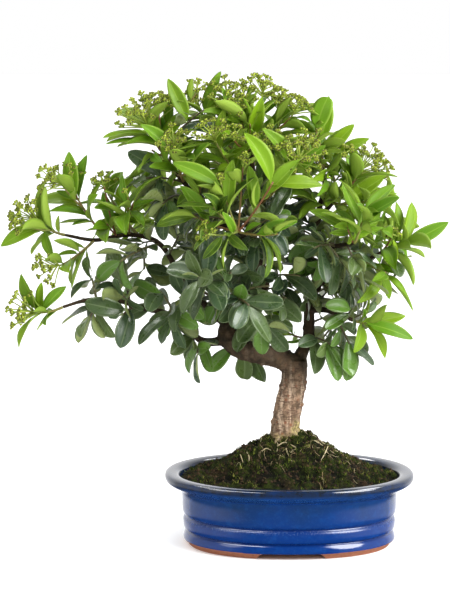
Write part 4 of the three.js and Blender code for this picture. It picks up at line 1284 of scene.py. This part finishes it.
def add_shoot(shape, stems, radii, leaves, draw):
    for stem in stems:
        add_tube(shape, stem, radii, STEM_SIDES, STEM_STEPS, 0, (draw(), 0, 0))
    for leaf in leaves:
        add_leaf(shape, leaf, 1, draw)


def make_shoot(shoot):
    shape = Shape()
    leaves = shoot["grown"] + shoot["spare"]
    add_shoot(shape, shoot["stems"], SHOOT_RADII, leaves, seeded(SEEDS["shoots"] + shoot["number"]))
    node = ("old_spray" if shoot["kind"] == "old" else "young_shoot") + f"_{shoot['number']:02d}"
    looks, slot = LOOKS[shoot["kind"]]
    make(node + "_leaves", shape, looks, slot, node)


def make_twigs(name, twigs, radii, seed):
    """One piece of the old ones and one of the young ones"""
    for kind, (looks, slot) in LOOKS.items():
        chosen = [twig for twig in twigs if twig["kind"] == kind]
        if not chosen:
            continue
        shape = Shape()
        draw = seeded(seed)
        for twig in chosen:
            add_shoot(shape, [twig["stem"]], radii, twig["grown"], draw)
        make(f"{kind}_{name}", shape, looks, slot)


for shoot in SHOOTS:
    make_shoot(shoot)
make_twigs("sprigs", SPRIGS, SPRIG_RADII, SEEDS["sprigs"])
for number, limb in enumerate(TWIGS):
    make_twigs(f"twigs_{limb}", twigs[limb], TWIG_RADII, SEEDS["twigs"] + number)

# Pieces: bud clusters
HEAD_STALK = [(0, 0.9), (1, 0.5)]
UMBEL_STALK = [(0, 0.78), (1, 0.5)]
BUD_STALK_ENDS = [(0, 0.42), (1, 0.34)]
UMBEL_GAP = 6.8  # least distance between the heads of two umbels
UMBEL_DEPTH = 4  # how far an umbel's stalk ends under its head
BUD_STRETCH = 1.15
BUD_ROWS = 3
BUD_COLUMNS = 7
SPRIG_CLUSTERS = 50  # numbers of the sprigs' clusters start here


def bud_template():
    """A small round bud along +Z with its tip up: points, faces, and how far up each point is"""
    points = [(0, 0, -1)]
    for row in range(1, BUD_ROWS + 1):
        angle = math.pi * row / (BUD_ROWS + 1)
        out = math.sin(angle)
        for column in range(BUD_COLUMNS):
            turn = 2 * math.pi * column / BUD_COLUMNS
            points.append((out * math.cos(turn), out * math.sin(turn), -math.cos(angle)))
    points = np.array(points + [(0, 0, 1)])
    return points, ring_faces(BUD_ROWS, BUD_COLUMNS, 0, len(points) - 1, 1), 0.5 + 0.5 * points[:, 2]


BUD_POINTS, BUD_FACES, BUD_HEIGHTS = bud_template()


def add_bud(shape, place, axis, radius, draw):
    first, second = across(axis)
    x, y, z = BUD_POINTS.T[..., None]
    turned = x * first + y * second + z * axis * BUD_STRETCH
    tone = np.zeros((len(turned), 3))
    tone[:, 0] = BUD_HEIGHTS
    tone[:, 1] = draw()
    shape.add(place + radius * turned, BUD_FACES, 1, None, tone)


def add_umbel(shape, start, end, axis, draw):
    """A thin stalk that splits at its end into a handful of short ones with a bud each"""
    middle = (start + end) / 2 + axis * 1.5
    tone = (draw(), 0, 0)
    add_tube(shape, arc(start, middle, end), UMBEL_STALK, 5, 5, 0, tone)
    first, second = across(axis)
    count = 5 + int(4 * draw())
    for number in range(count):
        turn = 2 * math.pi * (number + 0.7 * draw()) / (count - 1)
        spread = (0.55 + 0.45 * draw()) if number else 0.1
        direction = unit(axis + spread * (first * math.cos(turn) + second * math.sin(turn)))
        bud = end + direction * (2.3 + 1.9 * draw())
        add_tube(shape, line(end, bud), BUD_STALK_ENDS, 4, 1, 0, tone)
        add_bud(shape, bud + direction * 0.7, direction, 1.0 + 0.5 * draw(), draw)


def umbel_ends(size, base, axis, seed):
    """More stalks than the solids have, at more heights, with gaps between their heads"""
    length, half_width = size
    first, second = across(axis)
    count = round(5 + 1.15 * half_width)
    ends = []
    for number in range(count):
        draw = seeded(seed * 128 + number)
        out = math.sqrt((number + 0.5) / count) * (0.85 + 0.25 * draw())
        turn = GOLDEN_TURN * number + seed
        height = length * (1 - 0.3 * out * out) * (0.55 + 0.52 * draw())
        end = base + axis * height
        end = end + (first * math.cos(turn) + second * math.sin(turn)) * half_width * out
        start = base + axis * (length * (0.08 + 0.34 * (1 - out)))
        ends.append((start, end))
    return ends


def add_cluster(shape, cluster, size, seed):
    """A flat head of buds: its middle stalk, and umbels on the stalks that branch from it"""
    draw = seeded(SEEDS["cluster"] + seed)
    base, axis = cluster["base"], cluster["axis"]
    top = base + axis * (size[0] * MIDDLE_STALK_SHARE)
    add_tube(shape, line(base - axis, top), HEAD_STALK, 6, 3, 0, (draw(), 0, 0))
    ends = list(cluster["stalks"])
    for start, end in umbel_ends(size, base, axis, seed):
        if all(math.dist(end, other) > UMBEL_GAP for _, other in ends):
            ends.append((start, end))
    for start, end in ends:
        add_umbel(shape, start, end - axis * UMBEL_DEPTH, unit(axis + 0.9 * unit(end - start)), draw)


for shoot in flowering:
    shape = Shape()
    add_cluster(shape, shoot["cluster"], shoot["buds"], shoot["number"])
    node = f"bud_cluster_{shoot['number']:02d}"
    make(node + "_buds", shape, [BUD_STALK, BUD], "bud", node)
sprig_buds = Shape()
for number, plan in enumerate(SPRIGS):
    if plan["buds"]:
        add_cluster(sprig_buds, plan["cluster"], plan["buds"], SPRIG_CLUSTERS + number)
make("sprig_buds", sprig_buds, [BUD_STALK, BUD], "bud")

# Trunk


def soil_height(x, y):
    """Height of the mound, with its small humps"""
    reach = RIM_REACH - SOIL_INSET
    depth = reach - NARROWER
    out = np.abs(x / reach) ** OVAL_POWER + np.abs(y / depth) ** OVAL_POWER
    out = np.minimum(out ** (1 / OVAL_POWER), 1)
    mound = SOIL_EDGE + MOUND_HEIGHT * (0.5 + 0.5 * np.cos(math.pi * out))
    humps = 1.4 * np.sin(x / 11 + y / 17) + 1.1 * np.sin(y / 9 - x / 23)
    return mound + humps * np.minimum(1, 4 * (1 - out) + 0.2)


TRUNK_VOXEL = 1.1
LIMB_SIDES = 20
DARK_FROM, DARK_OVER = 142, 36  # the bark is pale up to a height, and dark from so much higher
THICK_LIMB = 6  # radius over which a limb isn't quite as dark
GREEN_LEFT, GREEN_MORE = 110, 14  # height to which the trunk's left is green, and how much higher its right
RADIUS_PLACES = 41
ROOT_RADII = [(0, 4), (0.5, 2.4), (1, 1.1)]
ROOT_LENGTH = 11
ROOT_TURNS = [0.4, 1.5, 2.7, 3.6, 4.3, 5.3]  # directions in which surface roots leave the trunk


def trunk_tones(point, radius):
    """How dark the bark is at a place, and how green"""
    height = point[2]
    dark = min(max((height - DARK_FROM) / DARK_OVER, 0), 1) * (0.92 if radius > THICK_LIMB else 1)
    edge = GREEN_LEFT + GREEN_MORE * min(max((point[0] + 2) / 7, 0), 1)
    green = 0.95 * min(max((edge - height) / 9, 0), 1)
    return dark, green


def trunk_relief(point, radius):
    """How far the bark stands out at a place"""
    x, y, z = point
    rough = noise.noise(Vector((x / 7, y / 7, z / 15)))
    rough += 0.6 * noise.noise(Vector((x / 2.6, y / 2.6, z / 5)))
    knob = max(noise.noise(Vector((x / 6 + 7, y / 6, z / 6))) - 0.22, 0)
    return radius * (0.06 * rough + 0.42 * knob)


def add_roots(shape):
    """Surface roots: they leave the trunk's foot and sink into the mound"""
    foot = curves["trunk"].point(0.45)
    for number, turn in enumerate(ROOT_TURNS):
        out = np.array([math.cos(turn), math.sin(turn), 0])
        bend = np.array([-out[1], out[0], 0]) * (4 if number % 2 else -4)
        long = ROOT_LENGTH * (0.8 + 0.15 * (number % 3))
        points = [foot - UP * 3 + out * 6]
        for share in (0.5, 1.0):
            place = foot + out * (8 + long * share) + bend * share
            place[2] = float(soil_height(place[0], place[1])) + 1.0 - 3.5 * share * share
            points.append(place)
        add_tube(shape, spline(points), ROOT_RADII, 10, 10)


def apply(piece, modifier):
    with bpy.context.temp_override(object=piece, active_object=piece):
        bpy.ops.object.modifier_apply(modifier=modifier.name)


def rows_of(values, field):
    """A field of a mesh's points as rows of x, y and z"""
    flat = np.zeros(len(values) * 3)
    values.foreach_get(field, flat)
    return flat.reshape(-1, 3)


def make_trunk():
    """All limbs and roots grown together into one skin, with the relief of bark"""
    shape = Shape()
    for name, points in LIMBS.items():
        add_tube(shape, curves[name], limb_radii[name], LIMB_SIDES, 8 * (len(points) - 1))
    add_roots(shape)
    piece = make("trunk_bark", shape, [BARK], "trunk", "trunk")
    skin = piece.modifiers.new("skin", "REMESH")
    skin.mode = "VOXEL"
    skin.voxel_size = TRUNK_VOXEL * MM
    apply(piece, skin)
    mesh = piece.data
    points = rows_of(mesh.vertices, "co")
    normals = rows_of(mesh.vertex_normals, "vector")
    places = np.linspace(0, 1, RADIUS_PLACES)
    middles = np.concatenate([[curves[name].point(place) for place in places] for name in LIMBS])
    radii = np.concatenate([[along(limb_radii[name], place) for place in places] for name in LIMBS])
    tones = np.ones((len(points), 4))
    for index, point in enumerate((points - MIDDLE) / MM):
        radius = radii[np.argmin(((middles - point) ** 2).sum(1))]
        points[index] += normals[index] * trunk_relief(point, radius) * MM
        tones[index, :2] = trunk_tones(point, radius)
    mesh.vertices.foreach_set("co", points.ravel())
    attributes = mesh.color_attributes
    attribute = attributes.get("tone") or attributes.new("tone", "FLOAT_COLOR", "POINT")
    attribute.data.foreach_set("color", tones.ravel())
    mesh.polygons.foreach_set("use_smooth", [True] * len(mesh.polygons))
    mesh.update()


make_trunk()

# Pot
EVEN_INSET = 30  # the walls are outside of this, and have an even thickness
POT_SEGMENTS = 180
WALL_REACH = (101, 75)  # how far the pot reaches at its grooves, to its ends and to its front
HOLE_SIDES = 24
HOLE_CUT = (-5, 30)  # heights from and to which the drain holes are cut


def ovalise(points):
    """Turns a round lathe into the pot's oval, with walls of even thickness"""
    inner_reach = RIM_REACH - EVEN_INSET
    radius = np.hypot(points[:, 0], points[:, 1])
    angle = np.arctan2(points[:, 1], points[:, 0])
    inside = radius * (inner_reach - NARROWER) / inner_reach
    depth = np.where(radius > inner_reach, radius - NARROWER, inside)
    around = (np.cos(angle), np.sin(angle))
    squared = [np.sign(value) * np.abs(value) ** (2 / OVAL_POWER) for value in around]
    return np.stack([radius * squared[0], depth * squared[1], points[:, 2]], 1)


def rounded(profile, cuts):
    """Cuts the corners of an open outline, except its ends, a number of times"""
    for _ in range(cuts):
        profile = np.array(profile, float)
        low = 0.75 * profile[:-1] + 0.25 * profile[1:]
        high = 0.25 * profile[:-1] + 0.75 * profile[1:]
        middle = np.stack([low, high], 1).reshape(-1, 2)
        profile = np.concatenate([profile[:1], middle[1:-1], profile[-1:]])
    return profile


def add_turned(shape, profile, segments):
    """A closed turned shape from [inset from the rim's edge, height] pairs that start and end on the axis"""
    profile = np.asarray(profile, float)
    turns = np.arange(segments) * 2 * math.pi / segments
    inner = profile[1:-1]
    reach = RIM_REACH - inner[:, :1]
    heights = np.repeat(inner[:, 1:], segments, 1)
    rings = np.stack([reach * np.cos(turns), reach * np.sin(turns), heights], -1).reshape(-1, 3)
    points = np.concatenate([ovalise(rings), [[0, 0, profile[0, 1]], [0, 0, profile[-1, 1]]]])
    shape.add(points, ring_faces(len(inner), segments, len(points) - 2, len(points) - 1))


def cut(piece, points, faces):
    """Cuts a closed shape out of a piece"""
    mesh = bpy.data.meshes.new("cutter")
    mesh.from_pydata((np.asarray(points, float) * MM + MIDDLE).tolist(), [], faces)
    tool = link("cutter", mesh)
    modifier = piece.modifiers.new("cut", "BOOLEAN")
    modifier.operation = "DIFFERENCE"
    modifier.solver = "EXACT"
    modifier.object = tool
    apply(piece, modifier)
    bpy.data.objects.remove(tool)


def glaze_tones(points):
    """Where the glaze is darkened: pooled glaze and painted shade in the grooves, painted shade in the hollow
    under the lip. Also where the lip's edges are, and how low on the wall a point is.
    """
    height = points[:, 2]
    outer = sum(np.abs(points[:, axis]) ** OVAL_POWER / WALL_REACH[axis]**OVAL_POWER for axis in (0, 1))
    # Grooves: pooled glaze and painted shade. Under the lip: painted shade.
    pooled_glaze_and_shade = np.max([np.clip(1 - np.abs(height - middle) / GROOVE_HALF, 0, 1) for middle in GROOVES], 0)
    under_lip_shade = 0.5 * np.clip(1 - np.abs(height - UNDER_LIP) / 4.0, 0, 1)
    dark = np.maximum(pooled_glaze_and_shade, under_lip_shade) * (outer > 0.8)
    return np.stack([dark, np.clip((height - LIP_EDGE) / 3, 0, 1), np.clip((48 - height) / 26, 0, 1)], 1)


# Outline of the pot as [inset from the rim's edge, height]: its foot, and its wall, lip and inside
FOOT_PROFILE = [
    (RIM_REACH, FOOT_HEIGHT), (31.3, FOOT_HEIGHT), (30.3, 0.6), (29.8, 0), (23.4, 0), (22.8, 0.6),
    (22, GLAZE_EDGE - 0.4),
]
WALL_PROFILE = [
    (20.3, GLAZE_EDGE), (18.4, 5.2), (17.6, 6.6), (17.8, 8.2), (18.5, 10.4), (19.5, 12.6), (20.8, 13.9),
    (20.8, 14.7), (18.8, 15.8), (17.7, 18.5), (17.5, 22), (17.9, 25.6), (19.9, 27.6), (20.1, 28.8),
    (18.2, 30.2), (16.9, 33), (16.6, 38), (16.6, 44), (16.2, 49.6), (14.6, 53.6), (11.4, 56.4), (7.4, 58.4),
    (3.4, 60.4), (0.8, 62.8), (0, 65.4), (0.2, 67.8), (1.8, 69.4), (4.6, POT_HEIGHT), (9, 69.9), (12, 69.2),
    (14.2, 67.6), (15.5, 64), (24, 16), (30, FLOOR_TOP), (40, FLOOR_TOP),
]
BOX_FACES = [(0, 1, 3, 2), (4, 6, 7, 5), (0, 4, 5, 1), (2, 3, 7, 6), (0, 2, 6, 4), (1, 5, 7, 3)]


def cut_foot_gap(piece):
    """Cuts the foot ring into two feet, with sloping ends"""
    half, deep = FOOT_GAP / 2, RIM_WIDTH / 2
    gap = [
        (x * (half + FOOT_GAP_SLOPE if z < 0 else half - FOOT_GAP_SLOPE), y, z)
        for x in (-1, 1) for y in (-deep, deep) for z in (-FOOT_HEIGHT, FOOT_HEIGHT + 0.01)
    ]
    cut(piece, gap, BOX_FACES)


def cut_drain_hole(piece, x):
    turns = [2 * math.pi * step / HOLE_SIDES for step in range(HOLE_SIDES)]
    points = [
        (x + DRAIN_HOLE_RADIUS * math.cos(turn), DRAIN_HOLE_RADIUS * math.sin(turn), z)
        for z in HOLE_CUT for turn in turns
    ]
    faces = [tuple(range(HOLE_SIDES - 1, -1, -1)), tuple(range(HOLE_SIDES, 2 * HOLE_SIDES))]
    for step in range(HOLE_SIDES):
        after = (step + 1) % HOLE_SIDES
        faces.append((step, after, HOLE_SIDES + after, HOLE_SIDES + step))
    cut(piece, points, faces)


def make_pot():
    shape = Shape()
    wall = rounded(WALL_PROFILE, 2)[1:]
    add_turned(shape, np.concatenate([FOOT_PROFILE, wall, [(RIM_REACH, FLOOR_TOP)]]), POT_SEGMENTS)
    shape.tones[0] = glaze_tones(shape.points[0])
    piece = make("pot_body", shape, [glaze_material(), foot_material()], "pot", "pot")
    cut_foot_gap(piece)
    for side in (-1, 1):
        cut_drain_hole(piece, side * DRAIN_HOLE_X)
    for face in piece.data.polygons:
        height = face.center.z / MM
        under = height < FOOT_HEIGHT + 0.5 and face.normal.z < -0.5
        face.material_index = 1 if under or height < GLAZE_EDGE - 0.3 else 0


make_pot()
DRAIN_MESH = mesh_material()
for node in ("drain_mesh_left", "drain_mesh_right"):
    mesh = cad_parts[node].data
    mesh.materials.clear()
    mesh.materials.append(DRAIN_MESH)

# Soil
SOIL_SEGMENTS = 300
SOIL_RINGS = 96
SOIL_BOTTOM = [(RIM_REACH, 14), (32, 14), (26, 20), (SOIL_INSET + 0.6, SOIL_EDGE - 5)]
ROOT_SEEN_RADII = [(0, 0.6), (1, 0.25)]
STRAW_RADII = [(0, 0.2), (1, 0.1)]
GRAIN_COUNT = 4200
MOSS_COUNT = 5200
TUFT_BLADES = 4
STRAW_COUNT = 80
CLEAR_OF_TRUNK = 20  # least distance of moss, grains and straw from the pot's middle


def lumps(x, y):
    """Clumps, crumbs and grains of the soil"""
    clump = 7.2 * (0.42 - noise.voronoi(Vector((x / 11, y / 11, 2)))[0][0])
    crumb = 2.6 * noise.noise(Vector((x / 3.6, y / 3.6, 9)))
    return clump + crumb + 1.1 * noise.noise(Vector((x / 1.5, y / 1.5, 5)))


def ground(x, y):
    """Height of the soil, with its lumps"""
    return float(soil_height(x, y)) + lumps(x, y)


def soil_spot(draw):
    """A chance place on the soil: x, y and height"""
    turn = 2 * math.pi * draw()
    out = math.sqrt(draw()) * 0.98
    radius = max((RIM_REACH - SOIL_INSET) * out, CLEAR_OF_TRUNK)
    x, y, _ = ovalise(np.array([[radius * math.cos(turn), radius * math.sin(turn), 0.0]]))[0]
    return np.array([x, y, ground(x, y)])


SOIL = soil_material()
MOSS = tinted_material("moss", (0.004, 0.01, 0.001), (0.085, 0.125, 0.01))
MOSS_TIP = tinted_material("moss_tip", (0.11, 0.16, 0.015), (0.42, 0.42, 0.09))
GRAIN = tinted_material("soil_grain", (0.003, 0.002, 0.002), (0.075, 0.045, 0.022))
STRAW = tinted_material("straw", (0.3, 0.2, 0.09), (0.66, 0.56, 0.34))


def make_soil():
    shape = Shape()
    reach = RIM_REACH - SOIL_INSET
    top = [(RIM_REACH - reach * (1 - ring / SOIL_RINGS), SOIL_EDGE) for ring in range(SOIL_RINGS + 1)]
    add_turned(shape, SOIL_BOTTOM + top, SOIL_SEGMENTS)
    points = shape.points[0]
    tones = np.zeros((len(points), 3))
    for index, (x, y, z) in enumerate(points):
        if z > SOIL_EDGE - 1:
            relief = lumps(x, y)
            points[index, 2] = float(soil_height(x, y)) + relief
            # The relief, which the soil material turns into painted shade in the hollows
            tones[index, 0] = 0.5 + relief / 7
    shape.tones[0] = tones
    make("soil_surface", shape, [SOIL], "soil", "soil")


GRAIN_POINTS = np.array([(1, 0, 0), (-1, 0, 0), (0, 1, 0), (0, -1, 0), (0, 0, 1), (0, 0, -1)], float)
GRAIN_FACES = [[(0, 2, 4), (2, 1, 4), (1, 3, 4), (3, 0, 4), (2, 0, 5), (1, 2, 5), (3, 1, 5), (0, 3, 5)]]


def make_grains():
    shape = Shape()
    draw = seeded(SEEDS["grains"])
    for _ in range(GRAIN_COUNT):
        spot = soil_spot(draw)
        size = 0.45 + 1.5 * draw() ** 3
        points = GRAIN_POINTS * (size * (0.6 + 0.8 * np.array([draw(), draw(), draw()])))
        points = points + 0.25 * size * np.array([[draw(), draw(), draw()] for _ in range(6)])
        shape.add(points + spot, GRAIN_FACES, 0, None, (draw(), 0, 0))
    make("soil_grains", shape, [GRAIN], "soil", flat=True)


BLADE_FACES = [[(0, 1, 3), (1, 2, 3), (2, 0, 3), (0, 2, 1)]]


def make_moss():
    """Tufts of moss: short leaning blades, in patches, with some bright ones"""
    shape = Shape()
    draw = seeded(SEEDS["moss"])
    for _ in range(MOSS_COUNT):
        spot = soil_spot(draw)
        patch = noise.noise(Vector((spot[0] / 18, spot[1] / 18, 1))) + 0.008 * (spot[2] - SOIL_EDGE - 16)
        if patch < -0.08 + 0.3 * (draw() - 0.5):
            continue
        tone = draw() ** 2
        bright = 1 if draw() > 0.86 else 0
        for _ in range(TUFT_BLADES):
            turn, lean, tall = 6.28 * draw(), 1.1 * draw(), 1.4 + 2.6 * draw()
            side = np.array([math.cos(turn), math.sin(turn), 0]) * 0.36
            front = np.array([-side[1], side[0], 0])
            foot = spot + np.array([2.6 * draw() - 1.3, 2.6 * draw() - 1.3, -0.8])
            top = foot + UP * tall + 3.5 * front * lean * tall
            points = [foot + side, foot - side, foot + front, top]
            shape.add(points, BLADE_FACES, bright, None, (tone * (0.6 + 0.4 * draw()), 0, 0))
    make("moss_tufts", shape, [MOSS, MOSS_TIP], "soil", flat=True)


# Pale roots that the photo shows on the mound, as pixels along each
ROOTS_SEEN = [
    [(277, 447), (285, 443), (296, 448)],
    [(314, 441), (321, 445), (328, 450)],
    [(328, 447), (325, 454), (321, 461)],
    [(318, 440), (327, 447), (326, 453)],
    [(334, 451), (341, 454), (347, 459)],
    [(238, 450), (241, 457), (243, 463)],
    [(247, 453), (249, 457), (249, 462)],
    [(262, 452), (266, 449), (271, 451)],
    [(276, 440), (278, 445), (277, 452)],
    [(286, 449), (288, 455), (292, 462)],
]
SIGHT_STEPS = 400


def on_soil(pixel):
    """The place on the mound that the camera sees at a pixel of the photo, or just under it"""
    near, far = seen_at(pixel, -RIM_WIDTH / 2), seen_at(pixel, RIM_WIDTH / 2)
    for step in range(SIGHT_STEPS):
        place = near + (far - near) * step / SIGHT_STEPS
        if place[2] < ground(*place[:2]):
            return place + UP * 0.7
    return on_soil((pixel[0], pixel[1] + 1))


def make_straw():
    """Pale dry roots and stalks that lie on the soil, most of them near the trunk"""
    shape = Shape()
    draw = seeded(SEEDS["roots"])
    for root in ROOTS_SEEN:
        points = [on_soil(pixel) for pixel in root]
        add_tube(shape, spline(points), ROOT_SEEN_RADII, 5, 6, 0, (0.7 + 0.3 * draw(), 0, 0))
    for _ in range(STRAW_COUNT):
        near = draw() < 0.7
        spot = soil_spot(draw)
        if near:
            spot[:2] = spot[:2] * 0.4 + np.array([4, -16])
        turn, long = 6.28 * draw(), 3 + 7 * draw()
        step = np.array([math.cos(turn), math.sin(turn), 0]) * long / 2
        bend = np.array([-step[1], step[0], 0]) * 0.9 * (draw() - 0.5)
        points = []
        for offset in (-step, bend, step):
            place = spot + offset
            place[2] = ground(*place[:2]) + 0.8 + 0.8 * draw()
            points.append(place)
        add_tube(shape, spline(points), STRAW_RADII, 4, 5, 0, (draw(), 0, 0))
    make("dry_roots", shape, [STRAW], "soil")


make_soil()
make_grains()
make_moss()
make_straw()

# Stage, light and camera
LIGHT_ROUND = 0.52  # how bright the world is at the height of the horizon and below, and straight above
LIGHT_ABOVE = 1.0
LIGHT_LEFT = 0.2  # how much is added from the left
MIRROR_DARK = 0.07  # how bright the mirrored room, its walls and the panels above are
MIRROR_BEHIND = 1.25
MIRROR_BESIDE = 0.72
MIRROR_ABOVE = 15.0
LIGHT_AIM = Vector((0, 0, 0.2))  # in metres, as the places of the lights
FLOOR_SIZE = 40


def make_stage():
    """A white floor that glows as painted light, which washes out the shadows cast on it; the glow fades out
    near the pot's middle, so the shadow under the pot stays. It doesn't mirror in the glaze.
    """
    bpy.ops.mesh.primitive_plane_add(size=FLOOR_SIZE, location=(0, 0, 0))
    floor = bpy.context.object
    floor.name = "floor"
    shader = Shader("floor", (0.92, 0.92, 0.92), 0.9, Emission_Color=(1, 1, 1, 1))
    middle = shader.add("ShaderNodeMapping", {"Vector": shader.where, "Location": tuple(-MIDDLE)})[0]
    reach = shader.add("ShaderNodeVectorMath", {0: middle}, operation="LENGTH")["Value"]
    # Painted light: glow from 0.12 m of the pot's middle outward, none within 0.07 m
    shader.set("Emission Strength", shader.ramp(reach, 0.07, 0.12, 0.0, 0.44))
    floor.data.materials.append(shader.material)
    floor.visible_glossy = False


def make_light(name, place, size, power):
    """A soft round light that shines at the middle of the tree"""
    data = bpy.data.lights.new(name, "AREA")
    data.shape = "ELLIPSE"
    data.size, data.size_y = size
    data.energy = power
    light = link(name, data)
    light.location = place
    light.rotation_euler = (LIGHT_AIM - Vector(place)).to_track_quat("-Z", "Y").to_euler()


def make_world():
    """White where the camera looks at it. It lights from all round, more from above. What shines mirrors a
    darker room, with bright walls behind and at the sides."""
    world = bpy.data.worlds.new("studio")
    world.use_nodes = True
    sky = Nodes(world.node_tree)
    x, y, z = sky.add("ShaderNodeSeparateXYZ", {0: sky.add("ShaderNodeTexCoord")["Generated"]})[:3]
    soft = sky.plus(sky.ramp(z, 0.1, 1.0, LIGHT_ROUND, LIGHT_ABOVE), sky.ramp(x, -0.9, 0.0, LIGHT_LEFT, 0.0))
    beside = sky.ramp(sky.math("ABSOLUTE", x), 0.45, 0.85, 0.0, MIRROR_BESIDE)
    walls = sky.most(sky.ramp(y, 0.2, 0.6, 0.0, MIRROR_BEHIND), beside)
    walls = sky.times(walls, sky.ramp(z, 0.75, 0.9, 1.0, 0.0))
    walls = sky.times(walls, sky.ramp(z, -0.5, -0.3))
    left = sky.ramp(x, -0.22, -0.16, MIRROR_ABOVE, 0.0)
    panels = sky.most(sky.ramp(x, 0.32, 0.38, 0.0, MIRROR_ABOVE), left)
    panels = sky.times(panels, sky.ramp(z, 0.76, 0.8))
    panels = sky.times(panels, sky.ramp(z, 0.88, 0.92, 1.0, 0.0))
    mirror = sky.plus(sky.most(walls, panels), MIRROR_DARK)
    path = sky.add("ShaderNodeLightPath")
    light = sky.add("ShaderNodeMix", {0: path["Is Glossy Ray"], 2: soft, 3: mirror})[0]
    light = sky.add("ShaderNodeMix", {0: path["Is Camera Ray"], 2: light, 3: 1.0})[0]
    sky.tree.links.new(light, sky.tree.nodes["Background"].inputs["Color"])
    bpy.context.scene.world = world
    bpy.context.scene.view_settings.view_transform = "Standard"


def make_camera():
    data = bpy.data.cameras.new("camera")
    data.lens = CAMERA_LENS
    data.sensor_width = CAMERA_SENSOR
    camera = link("camera", data)
    camera.location = CAMERA_PLACE * MM + MIDDLE
    camera.rotation_euler = (math.pi / 2 - CAMERA_PITCH, 0, 0)
    bpy.context.scene.camera = camera


make_stage()
make_world()
make_light("key", (1.6, -1.2, 1.4), (1.5, 1.5), 80)
make_light("fill", (-1.55, -1.25, 1.4), (1.0, 0.9), 6)
make_camera()
